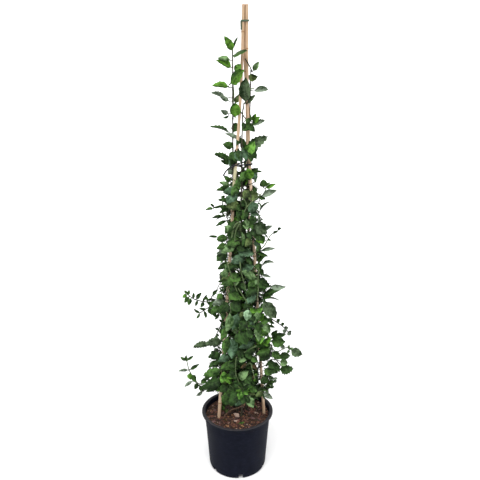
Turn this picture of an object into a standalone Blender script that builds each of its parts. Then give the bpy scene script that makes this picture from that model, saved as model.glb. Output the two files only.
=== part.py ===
# An evergreen climbing shrub in its nursery pot, trained up three bamboo canes.
# Metres, +Z up. The origin is the centre of the pot's flat underside.

import math

import bmesh
import bpy
from mathutils import Euler, Vector, noise

GAP = 0.0003  # kept wherever one solid meets another
CUTTER_GAP = GAP * 1.2  # a little more where a cutter's facets fall short of its round size
CANE_CUTTER_SIDES = 6
LIMB_CUTTER_SIDES = 4

# Pot: a moulded container with a narrow rim flange and a foot ring cut by drain notches.
POT_HEIGHT = 0.2165
POT_RIM_RADIUS = 0.1266
POT_WALL_TOP_RADIUS = 0.1158
POT_WALL_LOW_RADIUS = 0.1025
POT_FOOT_RADIUS = 0.0951
POT_FOOT_RISE = 0.017  # the wall rounds in to the foot over this height
POT_FLANGE = 0.0050
POT_EDGE_ROUNDING = 0.0015
POT_WALL = 0.0022
POT_STEPS = 24
POT_PAD_RADIUS = 0.062  # middle of the floor, which stands on the ground with the foot ring
POT_CHANNEL_RISE = 0.0100  # ring channel under the floor, which the notches drain
FOOT_RING_WIDTH = 0.0065
FOOT_ARC_POINTS = 4
NOTCH_COUNT = 6
NOTCH_WIDTH = 0.014
NOTCH_RISE = 0.0085
NOTCH_DEPTH = 0.026
NOTCH_FIRST_TURN = math.radians(-83)

# Compost: fills the pot to a little below the rim.
SOIL_LEVEL = 0.201
SOIL_HEAP = 0.002
SOIL_FLAT_SHARE = 0.55  # part of the top that is level before it falls to the edge

# Canes: pushed into the compost in a ring and tied in a bundle at the top.
CANE_TOP = 1.566
CANE_FOOT_DEPTH = 0.07
CANE_TOP_RADIUS = 0.0044
# Canes: foot at soil level (x, y), top (x, y), sideways bow at mid height, foot radius, then a sideways pull below the
# top and the share of the height above the soil where it starts.
CANES = {
    "left": ((-0.0650, -0.0263), (0.0193, -0.0030), 0.0045, 0.0062, (0.0050, 0.62)),
    "right": ((0.0955, -0.0020), (0.0290, -0.0030), -0.0095, 0.0052, (-0.0045, 0.52)),
    "rear": ((0.0470, 0.0800), (0.0241, 0.0056), 0.0020, 0.0054, (-0.0030, 0.80)),
}
CANE_PIECES = 5

# Ties round the canes: name, height, wire radius, reach of the hanging end.
TIES = (
    ("tie_top", 1.5205, 0.0009, (-0.0015, -0.0035, -0.020)),
    ("tie_middle", 1.1000, 0.0011, (-0.034, -0.012, -0.032)),
)
TIE_CORNER_POINTS = 4
TIE_SIDES = 4
TIE_SLACK = 1.13  # the loop stands off the canes by this, so that its straight facets clear them
TIE_TAIL_BEND = 0.4  # where along the hanging end it bends

# Stems: name, radius at the cut, radius at the tip, the points they pass through above the compost.
STEM_FLARE = 1.35
STEM_SIDES = 6
STEM_CUT_RISE = 0.006  # height over the level cut that a stem grows straight up
STEMS = (
    ("stem_left", 0.0045, 0.0019,
     ((0.000, 0.008, 0.0), (-0.004, 0.006, 0.35), (-0.012, 0.006, 1.000), (-0.0128, 0.001, 1.440))),
    ("stem_middle", 0.0042, 0.0020,
     ((0.015, -0.020, 0.0), (0.012, -0.016, 0.50), (0.0155, -0.008, 1.176), (0.0214, -0.010, 1.290))),
    ("stem_right", 0.0042, 0.0018,
     ((0.032, 0.020, 0.0), (0.022, 0.016, 0.70), (0.0368, 0.0155, 1.150), (0.0420, 0.008, 1.385))),
    ("stem_rear", 0.0038, 0.0014,
     ((-0.012, 0.036, 0.0), (-0.010, 0.040, 0.60), (0.000, 0.036, 1.060))),
    ("stem_arching", 0.0024, 0.0014,
     ((-0.044, -0.023, 0.0), (-0.020, -0.033, 0.236), (0.014, -0.038, 0.254),
      (0.034, -0.036, 0.285), (0.040, -0.030, 0.400))),
)
STEM_SPACING = 0.140  # between the rings of a stem

# Boughs: name, stem, height where it leaves the stem, spray centre, spray half sizes, rise of its arch.
BOUGHS = (
    ("left_high", "stem_left", 0.600, (-0.128, -0.020, 0.652), (0.054, 0.034, 0.030), 0.010),
    ("left_mid", "stem_left", 0.410, (-0.108, -0.030, 0.462), (0.052, 0.040, 0.044), 0.006),
    ("left_low", "stem_left", 0.300, (-0.150, -0.012, 0.370), (0.056, 0.042, 0.046), 0.012),
    ("right_high", "stem_right", 0.640, (0.118, -0.012, 0.690), (0.044, 0.036, 0.042), 0.006),
    ("right_mid", "stem_right", 0.400, (0.162, -0.030, 0.452), (0.060, 0.040, 0.042), 0.010),
    ("right_low", "stem_right", 0.290, (0.140, -0.016, 0.345), (0.050, 0.042, 0.044), 0.010),
    ("right_shoulder", "stem_right", 0.850, (0.104, -0.006, 0.880), (0.030, 0.026, 0.028), 0.004),
    ("right_upper", "stem_right", 0.990, (0.094, -0.010, 1.028), (0.030, 0.024, 0.026), 0.004),
    ("left_upper", "stem_left", 0.920, (-0.070, -0.012, 0.962), (0.027, 0.024, 0.026), 0.004),
    ("front_low", "stem_middle", 0.290, (0.010, -0.128, 0.345), (0.050, 0.044, 0.044), 0.010),
    ("front_high", "stem_middle", 0.520, (0.030, -0.112, 0.575), (0.044, 0.036, 0.040), 0.006),
    ("rear_low", "stem_rear", 0.290, (-0.040, 0.134, 0.360), (0.052, 0.046, 0.046), 0.010),
    ("rear_mid", "stem_rear", 0.430, (0.062, 0.138, 0.490), (0.050, 0.044, 0.044), 0.006),
    ("rear_high", "stem_rear", 0.620, (-0.030, 0.112, 0.680), (0.044, 0.038, 0.040), 0.006),
)
BOUGH_RADIUS = 0.0019
BOUGH_TIP_RADIUS = 0.0011
BOUGH_PIECES = 2
BOUGH_ARCH_PLACE = 0.55  # where along it a bough arches most
BOUGH_ENTRY = 0.30  # part of the spray's half length that the bough runs into it

# Crown: leafy tiers up the canes, parted by tilted planes, each of one or more uneven lobes.
CROWN_AXIS = Vector((0.014, 0.002, 0.0))
CROWN_PROFILE = (  # height, half width of the leafy column
    (0.250, 0.112),
    (0.330, 0.122),
    (0.460, 0.108),
    (0.600, 0.088),
    (0.760, 0.080),
    (0.960, 0.076),
    (1.080, 0.060),
    (1.200, 0.052),
    (1.420, 0.044),
)
TIERS = (  # height of the tier's middle, number of lobes, turn of its first lobe
    (0.318, 3, 0.50),
    (0.442, 3, 1.55),
    (0.566, 3, 2.60),
    (0.690, 2, 0.50),
    (0.810, 2, 1.90),
    (0.930, 2, 0.20),
    (1.045, 1, 0.00),
    (1.158, 1, 0.00),
    (1.268, 1, 0.00),
    (1.380, 1, 0.00),
)
TIER_TILT = 0.16
TIER_TILT_TURN = 2.4
LOBE_HALF_HEIGHT = 0.080
LOBE_OFFSET = 0.36  # of the column's half width, where a tier has several lobes
LOBE_WIDTH = 0.74
LOBE_PAIR_WIDENING = 1.15  # across, where a tier has only two
LOBE_SEGMENTS = 9
LOBE_RINGS = 6
SPRAY_SEGMENTS = 9
SPRAY_RINGS = 6
LOBE_UNEVENNESS = 0.22
LOBE_BUMPS = 1.3
LOBE_SEED = 41.0

part_collection = None
cutter_collection = None


def material(name, colour, roughness, metallic=0.0):
    found = bpy.data.materials.get(name) or bpy.data.materials.new(name)
    found.use_nodes = True
    shader = found.node_tree.nodes["Principled BSDF"]
    shader.inputs["Base Color"].default_value = (*colour, 1.0)
    shader.inputs["Roughness"].default_value = roughness
    shader.inputs["Metallic"].default_value = metallic
    return found


def pot_material():
    return material("pot_black", (0.012, 0.014, 0.020), 0.55)


def compost_material():
    return material("compost", (0.055, 0.028, 0.017), 0.95)


def cane_material():
    return material("bamboo", (0.58, 0.39, 0.24), 0.50)


def stem_material():
    return material("stem_bark", (0.085, 0.075, 0.050), 0.80)


def leaf_material():
    return material("leaves", (0.035, 0.110, 0.030), 0.45)


def top_tie_material():
    return material("tie_green", (0.070, 0.100, 0.060), 0.50)


def middle_tie_material():
    return material("tie_black", (0.015, 0.015, 0.015), 0.50)


def new_object(name, mesh, finish=None, cutter=False):
    obj = bpy.data.objects.new(name, mesh)
    if cutter:
        cutter_collection.objects.link(obj)
        obj.hide_render = True
        obj.display_type = "WIRE"
    else:
        part_collection.objects.link(obj)
        mesh.materials.append(finish)
    return obj


def evaluated_mesh(obj):
    depsgraph = bpy.context.evaluated_depsgraph_get()
    depsgraph.update()
    return bpy.data.meshes.new_from_object(obj.evaluated_get(depsgraph))


def turned(name, profile, steps, finish):
    """A solid of revolution: the profile runs from the axis, up inside, and down its outer side."""
    mesh = bpy.data.meshes.new(name)
    points = [(radius, 0.0, height) for radius, height in profile]
    mesh.from_pydata(points, [(i, i + 1) for i in range(len(points) - 1)], [])
    obj = new_object(name, mesh, finish)
    screw = obj.modifiers.new("Screw", "SCREW")
    screw.axis = "Z"
    screw.angle = math.tau
    screw.steps = steps
    screw.render_steps = steps
    screw.use_merge_vertices = True
    screw.merge_threshold = 0.00001
    screw.use_smooth_shade = False
    return obj


def smooth_path(points, pieces):
    """Points along a smooth curve through the given ones, `pieces` to each stretch."""
    points = [Vector(p) for p in points]
    ends = [points[0] * 2 - points[1], *points, points[-1] * 2 - points[-2]]
    path = []
    for i in range(1, len(ends) - 2):
        before, start, end, after = ends[i - 1:i + 3]
        count = pieces if isinstance(pieces, int) else max(2, round((end - start).length / pieces))
        for step in range(count):
            t = step / count
            path.append(0.5 * (2 * start + (end - before) * t
                               + (2 * before - 5 * start + 4 * end - after) * t ** 2
                               + (3 * start - before - 3 * end + after) * t ** 3))
    path.append(points[-1])
    return path


def tube(name, path, radii, finish=None, cutter=False, sides=8):
    """A closed round limb along a path, with its own radius at each point."""
    curve = bpy.data.curves.new(name, "CURVE")
    curve.dimensions = "3D"
    curve.bevel_depth = 1.0
    curve.bevel_resolution = sides // 2 - 2
    curve.use_fill_caps = True
    spline = curve.splines.new("POLY")
    spline.points.add(len(path) - 1)
    for point, place, radius in zip(spline.points, path, radii):
        point.co = (*place, 1.0)
        point.radius = radius
    guide = bpy.data.objects.new(name, curve)
    part_collection.objects.link(guide)
    mesh = evaluated_mesh(guide)
    bpy.data.objects.remove(guide)
    bpy.data.curves.remove(curve)
    solid = bmesh.new()
    solid.from_mesh(mesh)
    bmesh.ops.remove_doubles(solid, verts=solid.verts, dist=0.00001)
    bmesh.ops.recalc_face_normals(solid, faces=solid.faces)
    bmesh.ops.triangulate(solid, faces=solid.faces, quad_method="FIXED")
    solid.to_mesh(mesh)
    solid.free()
    mesh.name = name
    mesh.materials.clear()
    return new_object(name, mesh, finish, cutter)


def fat_tube(name, path, radii, sides):
    """The tube's cutter: its flats clear the round limb by the gap, and its ends are longer by it."""
    path = [Vector(p) for p in path]
    first = path[0] + (path[0] - path[1]).normalized() * CUTTER_GAP
    last = path[-1] + (path[-1] - path[-2]).normalized() * CUTTER_GAP
    wider = [(radius + GAP) / math.cos(math.pi / sides) for radius in radii]
    return tube(name + "_cutter", [first, *path[1:-1], last], wider, cutter=True, sides=sides)


def bounds(obj):
    corners = [obj.matrix_world @ vertex.co for vertex in obj.data.vertices]
    low = Vector([min(c[axis] for c in corners) for axis in range(3)])
    high = Vector([max(c[axis] for c in corners) for axis in range(3)])
    return low, high


def near(one, other):
    low_one, high_one = bounds(one)
    low_other, high_other = bounds(other)
    return all(low_one[a] < high_other[a] and low_other[a] < high_one[a] for a in range(3))


def keep_largest_piece(mesh):
    """Drops the loose bits that a cut leaves beside the main body."""
    solid = bmesh.new()
    solid.from_mesh(mesh)
    left = set(solid.verts)
    pieces = []
    while left:
        piece = {left.pop()}
        front = list(piece)
        while front:
            vertex = front.pop()
            for edge in vertex.link_edges:
                other = edge.other_vert(vertex)
                if other in left:
                    left.discard(other)
                    piece.add(other)
                    front.append(other)
        pieces.append(piece)
    largest = max(pieces, key=lambda piece: (len(piece), sum(v.index for v in piece)))
    loose = [v for v in solid.verts if v not in largest]
    bmesh.ops.delete(solid, geom=loose, context="VERTS")
    bmesh.ops.recalc_face_normals(solid, faces=solid.faces)
    solid.to_mesh(mesh)
    solid.free()


def cut(obj, cutters):
    """Cuts away what the near cutters fill, and keeps the main body that is left."""
    for cutter in cutters:
        if near(obj, cutter):
            modifier = obj.modifiers.new("Cut", "BOOLEAN")
            modifier.operation = "DIFFERENCE"
            modifier.solver = "MANIFOLD"
            modifier.object = cutter
    mesh = evaluated_mesh(obj)
    keep_largest_piece(mesh)
    obj.modifiers.clear()
    obj.data = mesh


def between(table, height):
    """The value at a height, straight between the rows of a (height, value) table."""
    for (low, first), (high, second) in zip(table, table[1:]):
        if height <= high:
            share = max(0.0, (height - low) / (high - low))
            return first + (second - first) * share
    return table[-1][1]


def pot_inner_profile():
    """From the middle of the floor out over the drain channel and up the inner wall."""
    channel_out = POT_FOOT_RADIUS - FOOT_RING_WIDTH + POT_WALL
    return [
        (0.0, POT_WALL),
        (POT_PAD_RADIUS - POT_WALL, POT_WALL),
        (POT_PAD_RADIUS + POT_WALL, POT_CHANNEL_RISE + POT_WALL),
        (channel_out, POT_CHANNEL_RISE + POT_WALL),
        (POT_WALL_LOW_RADIUS - POT_WALL, POT_FOOT_RISE + POT_WALL),
        (POT_WALL_TOP_RADIUS - POT_WALL, POT_HEIGHT - POT_FLANGE),
        (POT_WALL_TOP_RADIUS - POT_WALL / 2, POT_HEIGHT),
    ]


def pot_outer_profile():
    """From the rim flange down the outer wall, the rounded foot and the underside to the axis."""
    rounding = POT_EDGE_ROUNDING
    foot = []
    for step in range(FOOT_ARC_POINTS):
        turn = math.pi / 2 * step / (FOOT_ARC_POINTS - 1)
        foot.append((
            POT_FOOT_RADIUS + (POT_WALL_LOW_RADIUS - POT_FOOT_RADIUS) * math.cos(turn),
            POT_FOOT_RISE * (1 - math.sin(turn)),
        ))
    return [
        (POT_RIM_RADIUS - rounding, POT_HEIGHT),
        (POT_RIM_RADIUS, POT_HEIGHT - rounding),
        (POT_RIM_RADIUS, POT_HEIGHT - POT_FLANGE + rounding / 2),
        (POT_RIM_RADIUS - rounding, POT_HEIGHT - POT_FLANGE),
        (POT_WALL_TOP_RADIUS, POT_HEIGHT - POT_FLANGE - rounding),
        *foot,
        (POT_FOOT_RADIUS - FOOT_RING_WIDTH, 0.0),
        (POT_FOOT_RADIUS - FOOT_RING_WIDTH, POT_CHANNEL_RISE),
        (POT_PAD_RADIUS + POT_WALL * 1.5, POT_CHANNEL_RISE),
        (POT_PAD_RADIUS, 0.0),
        (0.0, 0.0),
    ]


def make_pot():
    pot = turned("pot", pot_inner_profile() + pot_outer_profile(), POT_STEPS, pot_material())
    for index in range(NOTCH_COUNT):
        turn = NOTCH_FIRST_TURN + math.tau * index / NOTCH_COUNT
        solid = bmesh.new()
        bmesh.ops.create_cube(solid, size=1.0)
        reach = POT_FOOT_RADIUS - FOOT_RING_WIDTH / 2
        for vertex in solid.verts:
            vertex.co.x *= NOTCH_DEPTH
            vertex.co.y *= NOTCH_WIDTH
            vertex.co.z = NOTCH_RISE if vertex.co.z > 0 else -NOTCH_RISE
        mesh = bpy.data.meshes.new(f"notch_{index + 1}")
        solid.to_mesh(mesh)
        solid.free()
        notch = new_object(f"notch_{index + 1}", mesh, cutter=True)
        notch.location = (reach * math.cos(turn), reach * math.sin(turn), 0.0)
        notch.rotation_euler = Euler((0.0, 0.0, turn))
        modifier = pot.modifiers.new("Notch", "BOOLEAN")
        modifier.operation = "DIFFERENCE"
        modifier.object = notch


def make_compost(cane_cutters):
    walls = [(max(0.0, radius - GAP), height + GAP) for radius, height in pot_inner_profile()[:5]]
    low_radius, low_height = pot_inner_profile()[4]
    top_radius, top_height = pot_inner_profile()[5]
    share = (SOIL_LEVEL - low_height) / (top_height - low_height)
    edge_radius = low_radius + (top_radius - low_radius) * share - GAP * 1.5
    flat_radius = edge_radius * SOIL_FLAT_SHARE
    top = [(0.0, SOIL_LEVEL), (flat_radius, SOIL_LEVEL), (edge_radius, SOIL_LEVEL - SOIL_HEAP)]
    compost = turned("compost", top + walls[::-1], POT_STEPS, compost_material())
    for cutter in cane_cutters:
        modifier = compost.modifiers.new("Cane hole", "BOOLEAN")
        modifier.operation = "DIFFERENCE"
        modifier.object = cutter


def cane_centre(name, height):
    """Centre of a cane at a height: a straight lean with a gentle sideways bow, drawn in below the top."""
    foot, top, bow, _, (pull, pull_start) = CANES[name]
    share = (height - SOIL_LEVEL) / (CANE_TOP - SOIL_LEVEL)
    drawn = (share - pull_start) / (1 - pull_start)
    bend = bow * math.sin(math.pi * min(1.0, max(0.0, share))) + pull * math.sin(math.pi * min(1.0, max(0.0, drawn)))
    return Vector((foot[0] + (top[0] - foot[0]) * share + bend,
                   foot[1] + (top[1] - foot[1]) * share, height))


def cane_radius(name, height):
    share = max(0.0, (height - SOIL_LEVEL) / (CANE_TOP - SOIL_LEVEL))
    return CANES[name][3] + (CANE_TOP_RADIUS - CANES[name][3]) * share


def make_canes():
    """The canes, and a wider cutter for each."""
    low = SOIL_LEVEL - CANE_FOOT_DEPTH
    cutters = []
    for name in CANES:
        piece = (CANE_TOP - SOIL_LEVEL) / CANE_PIECES
        heights = [low, *(SOIL_LEVEL + piece * number for number in range(CANE_PIECES + 1))]
        path = [cane_centre(name, height) for height in heights]
        radii = [cane_radius(name, height) for height in heights]
        tube("cane_" + name, path, radii, cane_material())
        cutters.append(fat_tube("cane_" + name, path, radii, CANE_CUTTER_SIDES))
    return cutters


def loop_round_canes(height, wire_radius, tail):
    """A path round the outside of the three canes that starts at the tail's end and stops beside it."""
    reach = max(cane_radius(name, height) for name in CANES) * TIE_SLACK + wire_radius + GAP * 2
    centres = {name: cane_centre(name, height) for name in CANES}
    order = ("left", "right", "rear")
    path = []
    for index, name in enumerate(order):
        before = centres[order[index - 1]]
        after = centres[order[(index + 1) % 3]]
        arrive = (centres[name] - before).to_2d().normalized()
        leave = (after - centres[name]).to_2d().normalized()
        start = math.atan2(-arrive.x, arrive.y)
        sweep = math.atan2(arrive.cross(leave), arrive.dot(leave))
        for step in range(TIE_CORNER_POINTS):
            turn = start + sweep * step / (TIE_CORNER_POINTS - 1)
            path.append(centres[name] + Vector((math.cos(turn), math.sin(turn), 0.0)) * reach)
    path = path[2:] + path[:1]
    return [path[0] + Vector(tail), path[0] + Vector(tail) * TIE_TAIL_BEND, *path]


def make_ties():
    """A wire round the bundle and a longer tie lower down, each with its end hanging."""
    finishes = {"tie_top": top_tie_material(), "tie_middle": middle_tie_material()}
    cutters = []
    for name, height, radius, tail in TIES:
        path = loop_round_canes(height, radius, tail)
        radii = [radius] * len(path)
        tube(name, path, radii, finishes[name], sides=TIE_SIDES)
        cutters.append(fat_tube(name, path, radii, LIMB_CUTTER_SIDES))
    return cutters


def stem_path(points):
    """From a level cut just over the compost, first straight up and then through the points."""
    foot = Vector((points[0][0], points[0][1], SOIL_LEVEL + GAP))
    return [foot, *smooth_path([foot + Vector((0.0, 0.0, STEM_CUT_RISE)), *points[1:]], STEM_SPACING)]


def tapered_radii(path, foot_radius, tip_radius):
    lengths = [0.0]
    for start, end in zip(path, path[1:]):
        lengths.append(lengths[-1] + (end - start).length)
    return [foot_radius + (tip_radius - foot_radius) * length / lengths[-1] for length in lengths]


def make_stems():
    """The stems, the path of each by name, and a wider cutter for each."""
    paths = {}
    cutters = {}
    for name, foot_radius, tip_radius, points in STEMS:
        path = stem_path(points)
        radii = tapered_radii(path, foot_radius, tip_radius)
        radii[0] *= STEM_FLARE
        radii[1] *= 1 + (STEM_FLARE - 1) / 2
        tube(name, path, radii, stem_material(), sides=STEM_SIDES)
        paths[name] = path
        cutters[name] = fat_tube(name, path, radii, LIMB_CUTTER_SIDES)
    return paths, cutters


def point_at_height(path, height):
    for start, end in zip(path, path[1:]):
        if start.z <= height <= end.z:
            return start.lerp(end, (height - start.z) / (end.z - start.z))
    return path[-1]


def make_boughs(stem_paths, stem_cutters, cane_cutters):
    """One limb from its stem to each side spray, clear of the stems and canes, and its cutter."""
    cutters = []
    for name, stem, height, centre, half_size, arch in BOUGHS:
        start = point_at_height(stem_paths[stem], height)
        outwards = (Vector(centre) - start).normalized()
        end = Vector(centre) - outwards * half_size[0] * (1 - BOUGH_ENTRY)
        middle = start.lerp(end, BOUGH_ARCH_PLACE) + Vector((0.0, 0.0, arch))
        path = smooth_path([start, middle, end], BOUGH_PIECES)
        radii = tapered_radii(path, BOUGH_RADIUS, BOUGH_TIP_RADIUS)
        bough = tube("bough_" + name, path, radii, stem_material(), sides=STEM_SIDES)
        cut(bough, [*stem_cutters.values(), *cane_cutters, *cutters])
        cutters.append(fat_tube("bough_" + name, path, radii, LIMB_CUTTER_SIDES))
    return cutters


def uneven_ball(centre, half_size, turn, seed, segments, rings):
    """A coarse ball, pushed in and out, stretched to its half sizes and turned."""
    solid = bmesh.new()
    bmesh.ops.create_uvsphere(solid, u_segments=segments, v_segments=rings, radius=1.0)
    for vertex in solid.verts:
        push = noise.noise(vertex.co * LOBE_BUMPS + Vector((seed, seed * 0.7, -seed)))
        vertex.co *= 1 + LOBE_UNEVENNESS * push
    bmesh.ops.scale(solid, verts=solid.verts, vec=half_size)
    bmesh.ops.rotate(solid, verts=solid.verts, matrix=Euler((0.0, 0.0, turn)).to_matrix())
    bmesh.ops.translate(solid, verts=solid.verts, vec=centre)
    bmesh.ops.triangulate(solid, faces=solid.faces, quad_method="FIXED")
    return solid


def leafy_object(name, solid):
    mesh = bpy.data.meshes.new(name)
    solid.to_mesh(mesh)
    solid.free()
    return new_object(name, mesh, leaf_material())


def swollen_copy(obj):
    """A cutter a little larger all over than the mass it copies."""
    solid = bmesh.new()
    solid.from_mesh(obj.data)
    solid.normal_update()
    places = [vertex.co + vertex.normal * GAP * 2 for vertex in solid.verts]
    for vertex, place in zip(solid.verts, places):
        vertex.co = place
    mesh = bpy.data.meshes.new(obj.name + "_cutter")
    solid.to_mesh(mesh)
    solid.free()
    return new_object(mesh.name, mesh, cutter=True)


def keep_side(solid, point, normal):
    """Keeps what lies on the normal's side of a plane, half a gap clear of it, and closes the cut."""
    point = point + normal * CUTTER_GAP / 2
    everything = [*solid.verts, *solid.edges, *solid.faces]
    cut_edges = bmesh.ops.bisect_plane(
        solid, geom=everything, plane_co=point, plane_no=normal, clear_inner=True)["geom_cut"]
    rim = [item for item in cut_edges if isinstance(item, bmesh.types.BMEdge)]
    caps = bmesh.ops.edgeloop_fill(solid, edges=rim)["faces"]
    bmesh.ops.triangulate(solid, faces=caps)
    bmesh.ops.recalc_face_normals(solid, faces=solid.faces)


def tier_plane(index):
    """Point and upward normal of the tilted plane between tier `index` and the one over it."""
    height = (TIERS[index][0] + TIERS[index + 1][0]) / 2
    turn = TIER_TILT_TURN * index
    normal = Vector((TIER_TILT * math.cos(turn), TIER_TILT * math.sin(turn), 1.0)).normalized()
    return CROWN_AXIS + Vector((0.0, 0.0, height)), normal


def make_tier(index):
    """The lobes of one tier: each a ball parted from its neighbours by planes."""
    height, count, first_turn = TIERS[index]
    width = between(CROWN_PROFILE, height)
    lobes = []
    for number in range(count):
        turn = first_turn + math.tau * number / count
        offset, half_width = (width * LOBE_OFFSET, width * LOBE_WIDTH) if count > 1 else (0.0, width)
        outwards = Vector((math.cos(turn), math.sin(turn), 0.0))
        centre = CROWN_AXIS + outwards * offset + Vector((0.0, 0.0, height))
        across = half_width * (LOBE_PAIR_WIDENING if count == 2 else 1.0)
        half_size = (half_width, across, LOBE_HALF_HEIGHT)
        seed = LOBE_SEED + index * len(TIERS) + number / count
        solid = uneven_ball(centre, half_size, turn, seed, LOBE_SEGMENTS, LOBE_RINGS)
        if index > 0:
            keep_side(solid, *tier_plane(index - 1))
        if index < len(TIERS) - 1:
            point, normal = tier_plane(index)
            keep_side(solid, point, -normal)
        side_turns = {1: (), 2: (0.0,), 3: (math.pi / 6, -math.pi / 6)}[count]
        for side_turn in side_turns:
            side = Vector((math.cos(turn + side_turn), math.sin(turn + side_turn), 0.0))
            keep_side(solid, CROWN_AXIS, side)
        letter = "abc"[number] if count > 1 else ""
        lobes.append(leafy_object(f"foliage_tier_{index + 1:02d}{letter}", solid))
    return lobes


def make_foliage(limb_cutters):
    """The leafy masses: the tiers up the canes, then the side sprays, all cut round the limbs."""
    tiers = [lobe for index in range(len(TIERS)) for lobe in make_tier(index)]
    tier_cutters = [swollen_copy(lobe) for lobe in tiers]
    for lobe in tiers:
        cut(lobe, limb_cutters)
    for index, (name, _, _, centre, half_size, _) in enumerate(BOUGHS):
        turn = math.atan2(centre[1] - CROWN_AXIS.y, centre[0] - CROWN_AXIS.x)
        seed = -LOBE_SEED - index
        solid = uneven_ball(Vector(centre), half_size, turn, seed, SPRAY_SEGMENTS, SPRAY_RINGS)
        spray = leafy_object("foliage_" + name, solid)
        cut(spray, [*tier_cutters, *limb_cutters])
        tier_cutters.append(swollen_copy(spray))


def main():
    global part_collection, cutter_collection
    for obj in list(bpy.data.objects):
        bpy.data.objects.remove(obj)
    part_collection = bpy.data.collections.new("potted_climbing_shrub")
    cutter_collection = bpy.data.collections.new("cutters")
    bpy.context.scene.collection.children.link(part_collection)
    bpy.context.scene.collection.children.link(cutter_collection)
    cane_cutters = make_canes()
    make_pot()
    make_compost(cane_cutters)
    tie_cutters = make_ties()
    stem_paths, stem_cutters = make_stems()
    bough_cutters = make_boughs(stem_paths, stem_cutters, cane_cutters)
    make_foliage([*cane_cutters, *tie_cutters, *stem_cutters.values(), *bough_cutters])


main()
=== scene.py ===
import math
import random

import bmesh
import bpy
from mathutils import Matrix, Vector


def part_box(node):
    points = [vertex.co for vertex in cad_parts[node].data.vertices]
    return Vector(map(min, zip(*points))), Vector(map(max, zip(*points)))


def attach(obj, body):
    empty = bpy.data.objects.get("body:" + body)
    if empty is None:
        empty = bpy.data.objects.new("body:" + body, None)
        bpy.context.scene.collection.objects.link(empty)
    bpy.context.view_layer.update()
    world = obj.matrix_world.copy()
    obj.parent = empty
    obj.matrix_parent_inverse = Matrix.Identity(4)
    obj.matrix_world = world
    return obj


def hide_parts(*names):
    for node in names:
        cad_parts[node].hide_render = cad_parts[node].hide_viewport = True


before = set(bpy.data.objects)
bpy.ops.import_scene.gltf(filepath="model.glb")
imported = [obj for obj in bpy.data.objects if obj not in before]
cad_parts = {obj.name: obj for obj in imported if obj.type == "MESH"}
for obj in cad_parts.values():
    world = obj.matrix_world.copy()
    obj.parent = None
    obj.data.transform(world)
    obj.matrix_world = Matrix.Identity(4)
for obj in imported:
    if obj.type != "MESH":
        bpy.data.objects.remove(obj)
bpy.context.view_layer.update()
print("frame loaded:", len(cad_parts), "nodes")

bpy.context.tool_settings.mesh_select_mode = (True, False, False)


# ---- selecting, finishing and small geometry helpers


def clearSelection():
    active = bpy.context.view_layer.objects.active
    if active and active.mode != "OBJECT":
        bpy.ops.object.mode_set(mode="OBJECT")
    bpy.ops.object.select_all(action="DESELECT")


def makeActive(piece):
    clearSelection()
    piece.select_set(True)
    bpy.context.view_layer.objects.active = piece


def pickPoints(piece, wanted):
    # in edit mode: selects the points that pass the test, and the edges and faces between them
    mesh = bmesh.from_edit_mesh(piece.data)
    for items in (mesh.faces, mesh.edges, mesh.verts):
        for item in items:
            item.select = False
    for point in mesh.verts:
        point.select = bool(wanted(point.co))
    mesh.select_flush_mode()
    bmesh.update_edit_mesh(piece.data)


def editAll():
    # edit mode on the active piece, with everything selected
    bpy.ops.object.mode_set(mode="EDIT")
    bpy.ops.mesh.select_all(action="SELECT")


def leaveEditing():
    bpy.ops.object.mode_set(mode="OBJECT")


def applyPlace():
    bpy.ops.object.transform_apply(location=True, rotation=True, scale=True)


def putInScene(item):
    bpy.context.scene.collection.objects.link(item)


def applyModifiers(piece):
    makeActive(piece)
    for modifier in list(piece.modifiers):
        bpy.ops.object.modifier_apply(modifier=modifier.name)


def closeUp(piece, distance=0.000001):
    # merges doubles and points every face outwards
    makeActive(piece)
    editAll()
    bpy.ops.mesh.remove_doubles(threshold=distance)
    bpy.ops.mesh.normals_make_consistent(inside=False)
    leaveEditing()


def shadeRound(piece, degrees=40):
    makeActive(piece)
    bpy.ops.object.shade_smooth_by_angle(angle=math.radians(degrees))


def putOnPlant(piece, name, nodes=()):
    # the finished piece's place goes into its mesh, and it stands for its nodes
    makeActive(piece)
    applyPlace()
    piece.name = name
    piece.data.name = name
    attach(piece, "root")
    if nodes:
        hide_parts(*nodes)


def giveMaterials(piece, *finishes):
    piece.data.materials.clear()
    for finish in finishes:
        piece.data.materials.append(finish)


def copyOf(template, place):
    # one more of a modelled shape, with its own mesh
    copy = template.copy()
    copy.data = template.data.copy()
    copy.matrix_world = place
    putInScene(copy)
    return copy


def joinAll(copies):
    clearSelection()
    for copy in copies:
        copy.select_set(True)
    bpy.context.view_layer.objects.active = copies[0]
    bpy.ops.object.join()
    return bpy.context.view_layer.objects.active


def up(height):
    return Vector((0, 0, height))


def around(turn):
    # the level direction at an angle
    return Vector((math.cos(turn), math.sin(turn), 0))


def smoothPath(points, spacing):
    # points along a smooth curve through the given ones, about that far apart
    points = [Vector(point) for point in points]
    ends = [points[0] * 2 - points[1], *points, points[-1] * 2 - points[-2]]
    path = []
    for i in range(1, len(ends) - 2):
        before, start, end, after = ends[i - 1:i + 3]
        count = max(2, round((end - start).length / spacing))
        for step in range(count):
            t = step / count
            path.append(0.5 * (2 * start + (end - before) * t
                               + (2 * before - 5 * start + 4 * end - after) * t ** 2
                               + (3 * start - before - 3 * end + after) * t ** 3))
    path.append(points[-1])
    return path


def pathLengths(path):
    lengths = [0.0]
    for start, end in zip(path, path[1:]):
        lengths.append(lengths[-1] + (end - start).length)
    return lengths


def taperedRadii(path, footRadius, tipRadius):
    lengths = pathLengths(path)
    return [footRadius + (tipRadius - footRadius) * length / lengths[-1] for length in lengths]


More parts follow.
